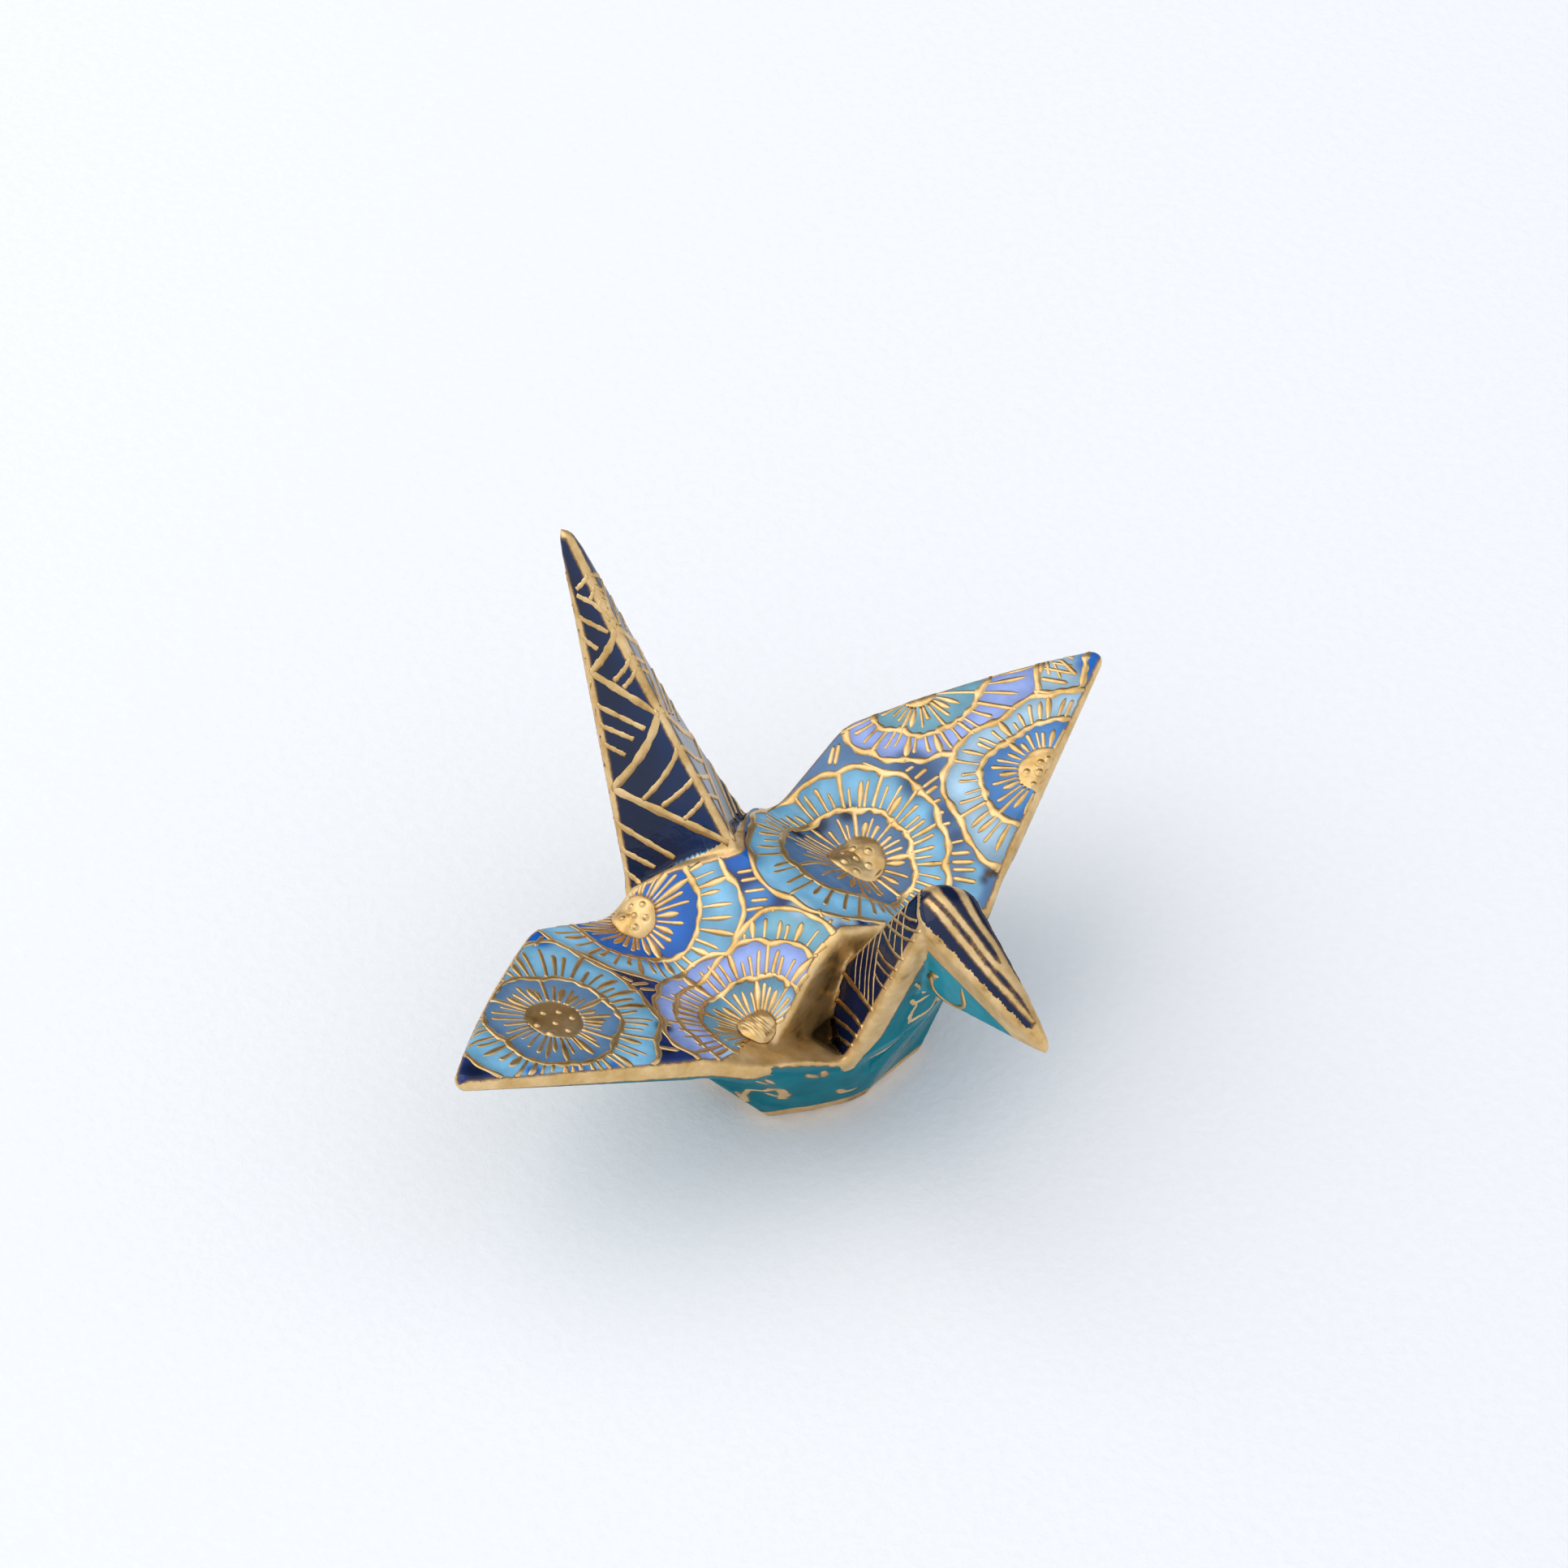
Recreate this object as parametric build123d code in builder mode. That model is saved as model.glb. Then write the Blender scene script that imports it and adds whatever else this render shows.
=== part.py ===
# Ceramic origami crane, cast in one piece: folded back with wings, body on a flat foot, neck, head, tail.
# Millimetres, +Z up, head towards -Y, wings along X, origin on the floor under the middle of the back.
import os

from build123d import *

os.makedirs("parts", exist_ok=True)

# Folded back: heights of its folds, read across the wings, with the span between the unrounded tips
wing_span = 83.0
wing_tip_z = 27.6
crease_x = 19.5
crease_z = 21.4
hinge_x = 10.5
hinge_z = 16.3
ridge_z = 23.1
hump_swell = 1.3
tip_thickness = 1.7
crease_thickness = 2.9
root_thickness = 3.4
ridge_soft = 5.0
hinge_soft = 2.6
crease_soft = 8.0

# Folded back: outline in plan
wing_tip_y = -1.0
wing_rear_y = 12.9
rear_root = (7.2, 12.8)
hump_rear_y = 6.9
wing_corner_x = 20.0
front_root = (14.7, -12.3)
front_root_z = 18.2
front_hinge_y = -9.7
hump_front_y = -8.6
tip_radius = 1.0
rear_swell = 0.7
rear_corner_radius = 6.0
rear_bevel = 2.0
edge_soft = 0.85

# Body: corners of the foot, from the front round by the right wing, and the lines that rise from them
foot_front = [(3.2, -9.3), (1.6, -9.6), (0.0, -9.3)]
foot_right = [(-3.6, -7.6), (-7.1, -5.4), (-7.3, 5.5)]
foot_rear = [(-2.5, 9.0), (0, 9.4), (2.5, 9.0)]
foot_left = [(8.2, 5.5), (10.0, -3.5), (9.8, -8.9)]
rim_corner = (6.0, -15.1, 14.6)
body_side = (18.0, -4.8, 16.0)
body_rear_side = (16.4, 6.6, 16.0)
body_top_z = 22.0
body_soft = 1.6
foot_soft = 0.4
foot_round = 0.55
sheet_cover = 0.5
pocket_depth_z = 6.5
pocket_back_y = -6.6
beach_edge = (6.0, -9.2, 14.0)
notch_z = 14.5

# Neck
neck_ridge_start = (-8.1, 19.0)
neck_flat = 0.6
root_x = 2.4
neck_soft = 0.55

# Head
head_back = (-17.8, 36.0)
head_corner = (3.3, -21.8, 35.9)
head_crown = 1.5
crown_half = 2.4
throat = (-17.3, 22.3)
beak = (-35.0, 28.0)
beak_width = 1.8
beak_depth = 2.6
head_soft = 0.3
brow_share = 0.6

# Tail
tail_tip = (29.8, 47.5)
tail_foot = (8.3, 13.6, 16.0)
tail_ridge_start_y = 6.8
tail_flat = 0.8
tail_bow = 0.6
tail_width = 3.2
tail_end = 1.5
tail_soft = 0.5

wing_tip_x = wing_span / 2
sheet_soft = min(edge_soft, tip_thickness / 2)


def along(start, end, z):
    """Point at height z on the line from start to end, both given as (x, y, z)."""
    share = (z - start[2]) / (end[2] - start[2])
    return tuple(a + share * (b - a) for a, b in zip(start, end))[:2]


# The folded sheet, seen from the front: hump in the middle, valley at each hinge, crease halfway out
tip_overrun = 1.0
tip_slope = (wing_tip_z - crease_z) / (wing_tip_x - crease_x)
tip_end = (wing_tip_x + tip_overrun, wing_tip_z + tip_slope * tip_overrun)
shoulder = (hinge_x / 2, (ridge_z + hinge_z) / 2 + hump_swell)
top_folds = [(0, ridge_z), shoulder, (hinge_x, hinge_z), (crease_x, crease_z), tip_end]
under_folds = [
    (tip_end[0], tip_end[1] - tip_thickness),
    (crease_x, crease_z - crease_thickness),
    (hinge_x, hinge_z - root_thickness),
    (0, hinge_z - root_thickness),
]
sheet_depth = 2 * (wing_rear_y - front_root[1])
wing_tip = (wing_tip_x, wing_tip_y)
wing_corner = (wing_corner_x, wing_rear_y)
rear_bevel_end = (rear_root[0] + rear_bevel, wing_rear_y)
rear_run = (Vector(wing_corner) - Vector(wing_tip)).normalized()
rear_middle = (Vector(wing_corner) + Vector(wing_tip)) / 2 + rear_run.rotate(Axis.Z, -90) * rear_swell

with BuildPart() as sheet:
    with BuildSketch(Plane.XZ) as section:
        with BuildLine():
            Polyline(*top_folds, *under_folds, close=True)
        make_face()
        fillet(section.vertices().sort_by_distance((hinge_x, hinge_z)).first, hinge_soft)
        fillet(section.vertices().sort_by_distance((crease_x, crease_z)).first, crease_soft)
        fillet(section.vertices().sort_by_distance(shoulder).first, ridge_soft)
        fillet(section.vertices().sort_by_distance(under_folds[1]).first, crease_soft)
        mirror(about=Plane.YZ)
    extrude(amount=sheet_depth / 2, both=True)
    with BuildSketch(Plane.XY) as plan:
        with BuildLine():
            front = Polyline((0, hump_front_y), (hinge_x, front_hinge_y), front_root, wing_tip)
            ThreePointArc(wing_tip, rear_middle, wing_corner)
            Polyline(wing_corner, rear_bevel_end, rear_root, (0, hump_rear_y), front @ 0)
        make_face()
        fillet(plan.vertices().sort_by_distance(wing_tip).first, tip_radius)
        fillet(plan.vertices().sort_by_distance(wing_corner).first, rear_corner_radius)
        mirror(about=Plane.YZ)
    extrude(amount=2 * ridge_z, mode=Mode.INTERSECT)
    fillet(sheet.edges().filter_by(Axis.Z, reverse=True), sheet_soft)

# Room for the body: under the folds, and before the hump below a floor that rises steeply from the pocket beside
# the neck, then gently from the beach edge to the rim
pocket_bottom = Vector(0, pocket_back_y, pocket_depth_z)
root_corner = Vector(*front_root, front_root_z)
beach_run = Vector(beach_edge) - Vector(rim_corner)
steep_normal = beach_run.cross(pocket_bottom - Vector(rim_corner))
gentle_normal = (root_corner - Vector(rim_corner)).cross(beach_run)
steep_floor = Plane(origin=rim_corner, x_dir=beach_run, z_dir=steep_normal)
gentle_floor = Plane(origin=rim_corner, x_dir=beach_run, z_dir=gentle_normal)
inner_folds = [(x, z - sheet_cover) for x, z in top_folds[:4]]

with BuildSketch(Plane.XY) as front_plan:
    with BuildLine():
        Polyline(
            (0, pocket_back_y),
            (hinge_x, front_hinge_y + sheet_soft),
            (front_root[0], front_root[1] + sheet_soft),
            (wing_tip_x, wing_tip_y + sheet_soft),
            (wing_tip_x, 2 * front_root[1]),
            (0, 2 * front_root[1]),
            close=True,
        )
    make_face()

front_plan_mirrored = mirror(front_plan.sketch, about=Plane.YZ)

with BuildPart() as front_floor:
    extrude(front_plan.sketch, amount=2 * ridge_z)
    split(bisect_by=steep_floor, keep=Keep.BOTTOM)
    split(bisect_by=gentle_floor, keep=Keep.BOTTOM)
    mirror(about=Plane.YZ)

with BuildPart() as room:
    with BuildSketch(Plane.XZ):
        with BuildLine():
            Polyline((0, 0), *inner_folds, (inner_folds[-1][0], 0), close=True)
        make_face()
        mirror(about=Plane.YZ)
    extrude(amount=sheet_depth, both=True)
    extrude(front_plan.sketch, amount=2 * ridge_z, mode=Mode.SUBTRACT)
    extrude(front_plan_mirrored, amount=2 * ridge_z, mode=Mode.SUBTRACT)
    add(front_floor.part)

# The notch behind the hump, where the tail stands clear of the body
with BuildPart() as notch:
    with BuildSketch(Plane.XY.offset(notch_z)):
        with BuildLine():
            Polyline(
                (0, hump_rear_y - 2 * sheet_soft),
                (rear_root[0], rear_root[1] - 2 * sheet_soft),
                (wing_corner_x, rear_root[1] - 2 * sheet_soft),
                (wing_corner_x, 2 * wing_rear_y),
                (0, 2 * wing_rear_y),
                close=True,
            )
        make_face()
        mirror(about=Plane.YZ)
    extrude(amount=ridge_z)

# The body under the sheet: rises from the foot, flares to the wings, and stops inside the sheet
knees = [rim_corner, (*front_root, front_root_z), body_side, body_rear_side, tail_foot]
right_feet = [foot_front[-1], *foot_right, foot_rear[0]]
left_feet = [foot_front[0], *reversed(foot_left), foot_rear[-1]]
right_top = []
left_top = []
for (x, y, z), right_foot, left_foot in zip(knees, right_feet, left_feet):
    right_top.append(along((*right_foot, 0), (-x, y, z), body_top_z))
    left_top.insert(0, along((*left_foot, 0), (x, y, z), body_top_z))
front_top = (0, right_top[0][1] - neck_flat)
rear_top = (0, right_top[-1][1] + tail_flat)

with BuildPart() as body:
    for z, inset in ((0, foot_soft), (foot_soft, 0)):
        with BuildSketch(Plane.XY.offset(z)) as foot:
            with BuildLine():
                Polyline(*foot_front, *foot_right, *foot_rear, *foot_left, close=True)
            make_face()
            if inset:
                offset(amount=-inset, kind=Kind.INTERSECTION)
            fillet(foot.vertices(), foot_round)
    with BuildSketch(Plane.XY.offset(body_top_z)) as gunwale:
        with BuildLine():
            Polyline(left_top[-1], front_top, *right_top, rear_top, *left_top[:-1], close=True)
        make_face()
        fillet(gunwale.vertices(), body_soft)
    loft(ruled=True)
    add(room.part, mode=Mode.INTERSECT)
    add(notch.part, mode=Mode.SUBTRACT)

# The neck: a wedge with its ridge towards the hump and an almost flat front, on a root inside the front rim
neck_lean = (neck_ridge_start[0] - head_back[0]) / (head_back[1] - neck_ridge_start[1])
neck_levels = []
for z in (rim_corner[2], head_back[1]):
    x, y = along(rim_corner, head_corner, z)
    ridge_y = neck_ridge_start[0] - (z - neck_ridge_start[1]) * neck_lean
    neck_levels.append((z, [(0, ridge_y), (-x, y), (0, y - neck_flat), (x, y)]))
root_y = along((*foot_front[2], 0), rim_corner, pocket_depth_z)[1] + neck_flat
root_level = (pocket_depth_z, [(0, pocket_back_y), (-root_x, root_y), (0, root_y), (root_x, root_y)])

with BuildPart() as neck:
    for z, corners in neck_levels:
        with BuildSketch(Plane.XY.offset(z)):
            with BuildLine():
                Polyline(*corners, close=True)
            make_face()
    loft(ruled=True)
    fillet(neck.edges().filter_by(lambda e: e.bounding_box().size.Z > neck_flat), neck_soft)

with BuildPart() as neck_root:
    for z, corners in (root_level, neck_levels[0]):
        with BuildSketch(Plane.XY.offset(z)):
            with BuildLine():
                Polyline(*corners, close=True)
            make_face()
    loft(ruled=True)

# The head: deep keel below, low crown above, narrowing to the beak
keel_rise = (beak[1] - beak_depth / 2 - throat[1]) / (throat[0] - beak[0])
nape_y = head_back[0] - head_soft
nape_keel_z = throat[1] + (throat[0] - nape_y) * keel_rise
corner_keel_z = throat[1] + (throat[0] - head_corner[1]) * keel_rise
crown_y = (head_back[0] + head_corner[1]) / 2
crown_keel_z = throat[1] + (throat[0] - crown_y) * keel_rise
head_sections = [
    (nape_y, head_soft, head_back[1], head_back[1] + head_soft, nape_keel_z),
    (crown_y, crown_half, head_back[1], head_back[1] + head_crown, crown_keel_z),
    (head_corner[1], head_corner[0], head_corner[2], head_corner[2] + head_crown, corner_keel_z),
    (beak[0], beak_width / 2, beak[1], beak[1] + beak_width / 4, beak[1] - beak_depth / 2),
]

with BuildPart() as head:
    for y, half_width, side_z, crown_z, keel_z in head_sections:
        brow = (half_width * brow_share, side_z + (crown_z - side_z) * (1 - brow_share**2))
        with BuildSketch(Plane.XZ.offset(-y)):
            with BuildLine():
                Polyline((0, crown_z), brow, (half_width, side_z), (0, keel_z))
                mirror(about=Plane.YZ)
            make_face()
    loft(ruled=True)
    lengthwise = head.edges().filter_by(lambda e: e.bounding_box().size.Y > head_soft)
    fillet(lengthwise.filter_by(lambda e: abs((e @ 0.5).X) > crown_half / 2), head_soft)

# The tail: a wedge like the neck, its ridge towards the hump, bowed a little and narrowing to a blunt tip
tail_lean = (tail_tip[0] - tail_ridge_start_y) / (tail_tip[1] - ridge_z)
tail_middle_z = (tail_foot[2] + tail_tip[1]) / 2
root_half = along((*foot_rear[2], 0), tail_foot, pocket_depth_z)
tail_levels = [(pocket_depth_z, *root_half, 0)]
for z, bow in ((tail_foot[2], 0), (tail_middle_z, tail_bow), (tail_tip[1], 0)):
    x, y = along(tail_foot, (tail_width / 2, *tail_tip), z)
    tail_levels.append((z, x - bow, y + bow, bow))

with BuildPart() as tail:
    for z, x, y, bow in tail_levels[1:]:
        ridge_y = tail_tip[0] - tail_end / 2 - (tail_tip[1] - z) * tail_lean + bow
        with BuildSketch(Plane.XY.offset(z)):
            with BuildLine():
                Polyline((0, ridge_y), (-x, y), (0, y + tail_flat), (x, y), close=True)
            make_face()
    loft()
    fillet(tail.edges().filter_by(lambda e: e.bounding_box().size.Z > tail_end), tail_soft)
    fillet(tail.edges().group_by(Axis.Z)[-1], tail_soft / 2)

with BuildPart() as tail_root:
    for z, x, y, bow in tail_levels[:2]:
        with BuildSketch(Plane.XY.offset(z)):
            with BuildLine():
                Polyline((0, hump_front_y / 2), (-x, y), (0, y + tail_flat), (x, y), close=True)
            make_face()
    loft(ruled=True)

with BuildPart() as crane:
    add(body.part)
    add(sheet.part)
    add(neck_root.part)
    add(neck.part)
    add(head.part)
    add(tail.part)
    add(tail_root.part)
crane.part.label = "crane"
export_step(crane.part, "parts/crane.step")
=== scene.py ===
import bmesh
import bpy
import numpy as np
from mathutils import Matrix, Vector


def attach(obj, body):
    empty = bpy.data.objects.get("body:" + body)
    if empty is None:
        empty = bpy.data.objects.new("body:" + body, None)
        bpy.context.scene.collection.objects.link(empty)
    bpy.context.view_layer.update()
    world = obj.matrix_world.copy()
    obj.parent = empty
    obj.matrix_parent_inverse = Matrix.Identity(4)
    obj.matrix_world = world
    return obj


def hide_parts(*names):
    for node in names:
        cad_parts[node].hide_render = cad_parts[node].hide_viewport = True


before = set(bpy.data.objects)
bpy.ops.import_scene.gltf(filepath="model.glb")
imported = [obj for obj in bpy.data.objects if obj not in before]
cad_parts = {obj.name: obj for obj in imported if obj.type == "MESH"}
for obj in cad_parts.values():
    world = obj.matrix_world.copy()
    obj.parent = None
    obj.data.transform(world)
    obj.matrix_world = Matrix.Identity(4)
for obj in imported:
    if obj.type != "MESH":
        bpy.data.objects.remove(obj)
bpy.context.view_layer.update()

# Camera: stands in front of the crane and to one side of its head, and looks down at 45 degrees through a
# long lens, which keeps the far wing nearly as large as the near one.
camera_azimuth, camera_elevation = np.radians((-43.0, 45.0))
camera_distance = 0.5556
camera_aim = Vector((0.0, 0.0, 0.03606))
camera_data = bpy.data.cameras.new("camera")
camera_data.sensor_width = 36.0
camera_data.lens = 139.75
camera_data.clip_start, camera_data.clip_end = 0.01, 20.0


def placed(name, data):
    """New object that shows some data, in the scene."""
    item = bpy.data.objects.new(name, data)
    bpy.context.collection.objects.link(item)
    return item


camera = placed("camera", camera_data)
back = Vector((
    np.sin(camera_azimuth) * np.cos(camera_elevation),
    -np.cos(camera_azimuth) * np.cos(camera_elevation),
    np.sin(camera_elevation),
))
camera.location = camera_aim + back * camera_distance
camera.rotation_euler = back.to_track_quat("Z", "Y").to_euler()
bpy.context.scene.camera = camera


# Table: a sheet of pale drawing paper under the crane, matt, with a fine grain. A large soft light hangs
# behind it to the left, and the pale room round it is dimmer to the right behind the crane.
table_radius = 0.9
table_angles = np.linspace(0, 2 * np.pi, 96, endpoint=False)
table_rim = np.stack([np.cos(table_angles), np.sin(table_angles), 0 * table_angles], 1) * table_radius
table_mesh = bpy.data.meshes.new("table")
table_mesh.from_pydata(table_rim.tolist(), [], [list(range(len(table_rim)))])
table = placed("table", table_mesh)


def new_material(name):
    """Material whose node tree holds only its output and one surface shader, linked."""
    material = bpy.data.materials.new(name)
    material.use_nodes = True
    tree = material.node_tree
    tree.nodes.clear()
    output = tree.nodes.new("ShaderNodeOutputMaterial")
    shader = tree.nodes.new("ShaderNodeBsdfPrincipled")
    tree.links.new(shader.outputs["BSDF"], output.inputs["Surface"])
    return material, tree, shader


def feed(tree, node, sources):
    """Gives a node's inputs, by name or number, their sources. A source is a plain value, a socket, or a node
    whose first output in use is meant."""
    for name, source in sources.items():
        if isinstance(source, bpy.types.Node):
            source = next(output for output in source.outputs if output.enabled)
        if isinstance(source, bpy.types.NodeSocket):
            tree.links.new(source, node.inputs[name])
        else:
            node.inputs[name].default_value = source


def add_node(tree, kind, sources=None, **values):
    """Shader node of a kind, with its properties and socket values set by name, and then its sources."""
    node = tree.nodes.new("ShaderNode" + kind)
    for name, value in values.items():
        if name in node.bl_rna.properties:
            setattr(node, name, value)
        else:
            node.inputs[name.replace("_", " ")].default_value = value
    feed(tree, node, sources or {})
    return node


paper, tree, shader = new_material("drawing paper")
place = add_node(tree, "TexCoord").outputs["Object"]
grain = add_node(tree, "TexNoise", {"Vector": place}, Scale=900.0, Detail=4.0, Roughness=0.6)
tint = add_node(tree, "Mix", {"Factor": grain, "A": (0.85, 0.845, 0.85, 1), "B": (0.91, 0.90, 0.90, 1)},
                data_type="RGBA")
bump = add_node(tree, "Bump", {"Height": grain}, Strength=0.25, Distance=0.0004)
feed(tree, shader, {"Base Color": tint, "Roughness": 0.85, "Normal": bump})
table_mesh.materials.append(paper)

light_data = bpy.data.lights.new("soft light", "AREA")
light_data.size = 1.05
light_data.energy = 3.2
light_data.color = (1.0, 0.96, 0.89)
light = placed("soft light", light_data)
light.location = (-0.30, 0.45, 0.72)
light.rotation_euler = light.location.to_track_quat("Z", "Y").to_euler()

room = bpy.data.worlds.new("room")
room.use_nodes = True
tree = room.node_tree
towards = add_node(tree, "TexCoord").outputs["Generated"]
dim_side = add_node(tree, "VectorMath", {0: towards, 1: (0.83, 0.52, 0.19)}, operation="DOT_PRODUCT")
dimming = add_node(tree, "MapRange", {"Value": dim_side}, interpolation_type="SMOOTHSTEP", From_Min=0.4,
                   From_Max=0.9)
walls = add_node(tree, "Mix", {"Factor": dimming, "A": (1.0, 1.055, 1.14, 1), "B": (0.15, 0.16, 0.18, 1)},
                 data_type="RGBA")
feed(tree, tree.nodes["Background"], {"Color": walls})
bpy.context.scene.world = room
bpy.context.scene.view_settings.view_transform = "Standard"


# Glazed body: the whole crane is one casting of porcelain. Coloured enamels are painted in fields and fired
# on, and pool a little at their edges. Gold is painted over every fold, rim and edge, and over the hollow
# in front. All lengths are in millimetres: the folded sheet's section and plan, then the corners of tail,
# neck and head.
fold_points = [(0, 23.1), (5.25, 21.0), (10.5, 16.3), (19.5, 21.4), (42.5, 27.88)]
fold_radii = [0, 5.0, 2.6, 8.0, 0]
sheet_points = [
    (0, -8.6), (10.5, -9.7), (14.7, -12.3), (41.5, -1.0), (36.8, 3.0), (31.1, 6.5), (25.4, 9.9),
    (20.0, 12.9), (9.2, 12.9), (7.2, 12.8), (0, 6.9),
]
sheet_radii = [0, 0, 0, 1.0, 30.0, 60.0, 30.0, 6.0, 0, 0, 0]
tail_root, tail_tip = np.array([(8.3, 13.6, 16), (1.6, 29.8, 47.5)])
tail_ridge_root, tail_ridge_tip = np.array([(0, -0.64, 16), (0, 29.05, 47.5)])
hollow = np.array((0, -6.6, 6.5))
neck_base, neck_root, neck_top = np.array([(2.4, -11.3, 6.5), (6, -15.1, 14.6), (3.3, -21.8, 35.9)])
neck_ridge_root, neck_ridge_top = np.array([(0, -5.6, 14.6), (0, -17.75, 35.9)])
chin, beak_keel, beak_side = np.array([(0, -17.3, 22.3), (0, -35, 26.7), (0.9, -35, 28.0)])

# The skin is cut into even cells and smoothed. Firing has rounded some edges further: each of these is a
# line, how far its softness reaches, and how many turns of smoothing it gets.
skin_cell = 0.3
even_steps = np.r_[np.tile((0.5, -0.51), 8), 0.4, 0.4]
soft_step = 0.5
rim_line = [(5.5, -15.3, 14.2), (6.6, -14.9, 14.9), (14.7, -12.3, 18.2), (17.5, -11.2, 18.4)]
rim_reach, rim_turns = 2.4, 42
soft_edges = [
    ([(-3.0, -19.8, 37.0), (3.0, -19.8, 37.0)], 3.0, 10),
    ([(0, -35, 28.4), (0, -35, 27.0)], 2.2, 17),
    ([(0, -35, 27.4), (0, -17.6, 22.4)], 1.5, 24),
    ([(-0.8, -34.5, 28.6), (-3.2, -21.8, 35.9)], 1.0, 14),
    ([(0.8, -34.5, 28.6), (3.2, -21.8, 35.9)], 1.0, 14),
    ([(0, 29.4, 47.0), (0, 7.5, 24.0)], 1.1, 20),
    ([(-1.0, 29.6, 47.0), (-7.6, 14.6, 18.0)], 1.1, 20),
    ([(1.0, 29.6, 47.0), (7.6, 14.6, 18.0)], 1.1, 20),
]

# The rim swells where the sheet's valley meets the body, and the beak grows thinner over its last few
# millimetres
swell_rise, swell_from_middle, swell_width, swell_depth = 0.8, 10.0, 2.2, 1.6
beak_thin_from, beak_thin_length, beak_thinning = -30.5, 4.5, 0.5


def rounded(points, radii, steps=9):
    """Line whose inner corners are arcs. An arc touches both runs at its radius over the tangent of half
    the angle between them, or nearer where a run is short."""
    p = np.array(points, float)
    line = [p[:1]]
    for a, b, c, r in zip(p[:-2], p[1:-1], p[2:], radii[1:-1]):
        u = (a - b) / np.linalg.norm(a - b)
        v = (c - b) / np.linalg.norm(c - b)
        half = np.arccos(np.clip(u @ v, -1, 1)) / 2
        touch = min(r / np.tan(half), 0.45 * np.linalg.norm(a - b), 0.45 * np.linalg.norm(c - b))
        share = np.linspace(0, 1, steps)[:, None]
        line.append(b + touch * ((1 - share) ** 2 * u + share**2 * v) if r else b[None])
    line.append(p[-1:])
    return np.concatenate(line)


fold = rounded(fold_points, fold_radii)
fold_length = np.r_[0, np.cumsum(np.hypot(*np.diff(fold, axis=0).T))]
sheet_edge = rounded(sheet_points, sheet_radii)


def sheet_height(x):
    """Height of the folded sheet's top over x, read from its rounded fold line."""
    return np.interp(np.abs(x), fold[:, 0], fold[:, 1])


def unfolded(x):
    """Distance along the fold line from the ridge to x, with the sign of x."""
    return np.sign(x) * np.interp(np.abs(x), fold[:, 0], fold_length)


def folded(s):
    """x of the point at distance s along the fold line."""
    return np.sign(s) * np.interp(np.abs(s), fold_length, fold[:, 0])


def line_distance(points, line):
    """Distance from points to the nearest run of a line."""
    a, b = np.array(line[:-1], float), np.array(line[1:], float)
    run = b - a
    share = np.clip(((points[:, None] - a) * run).sum(-1) / (run**2).sum(-1), 0, 1)
    return np.linalg.norm(points[:, None] - a - share[..., None] * run, axis=-1).min(1)


def edge_distance(x, y):
    """Distance in plan to the sheet's edge, positive inside: least distance to the edge's runs, signed by
    how often a line from the point in +X crosses them."""
    points = np.stack([np.abs(x), y], -1)
    away = line_distance(points, sheet_edge)
    a, run = sheet_edge[:-1], np.diff(sheet_edge, axis=0)
    level = (points[:, None, 1] - a[:, 1]) / np.where(run[:, 1] == 0, 1e-9, run[:, 1])
    crossed = (level >= 0) & (level < 1) & (points[:, None, 0] < a[:, 0] + level * run[:, 0])
    return np.where(crossed.sum(1) % 2, away, -away)


def remeshed(source, cell):
    """Copy of a mesh in millimetres, merged and cut into even cells. Returns its points, faces and edges."""
    shell = bmesh.new()
    shell.from_mesh(source.data)
    bmesh.ops.remove_doubles(shell, verts=shell.verts, dist=1e-6)
    bmesh.ops.transform(shell, matrix=Matrix.Scale(1000, 4), verts=shell.verts)
    mesh = bpy.data.meshes.new("cells")
    shell.to_mesh(mesh)
    shell.free()
    piece = placed("cells", mesh)
    cells = piece.modifiers.new("cells", "REMESH")
    cells.mode = "VOXEL"
    cells.voxel_size = cell
    evaluated = piece.evaluated_get(bpy.context.evaluated_depsgraph_get())
    made = bpy.data.meshes.new_from_object(evaluated)
    points = np.empty(len(made.vertices) * 3)
    made.vertices.foreach_get("co", points)
    edges = np.empty(len(made.edges) * 2, int)
    made.edges.foreach_get("vertices", edges)
    corners = np.empty(len(made.loops), int)
    made.loops.foreach_get("vertex_index", corners)
    bpy.data.objects.remove(piece)
    return points.reshape(-1, 3), corners.reshape(-1, 4), edges.reshape(-1, 2)


def smoothed(points, edges, steps, share):
    """Points moved towards the mean of their neighbours by each step in turn, or away from it where the
    step is negative, which gives a piece its size back. The share weighs the moves of each point."""
    both = np.r_[edges, edges[:, ::-1]]
    count = np.bincount(both[:, 0], minlength=len(points))[:, None]
    for step in steps:
        total = [np.bincount(both[:, 0], points[both[:, 1], k], len(points)) for k in range(3)]
        points = points + step * share * (np.stack(total, 1) / count - points)
    return points


def corner_normals(points, faces):
    """Normal at each point: sum of the crossed diagonals of the faces round it, at length one."""
    across = points[faces[:, 2]] - points[faces[:, 0]]
    down = points[faces[:, 3]] - points[faces[:, 1]]
    flat = np.cross(across, down)
    total = [np.bincount(faces.ravel(), np.repeat(flat[:, k], 4), len(points)) for k in range(3)]
    return np.stack(total, 1) / np.linalg.norm(total, axis=0)[:, None]


def linear(srgb):
    """Linear colours from rows of 8-bit ones."""
    c = np.array(srgb) / 255
    return np.where(c <= 0.04045, c / 12.92, ((c + 0.055) / 1.055) ** 2.4)


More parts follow.
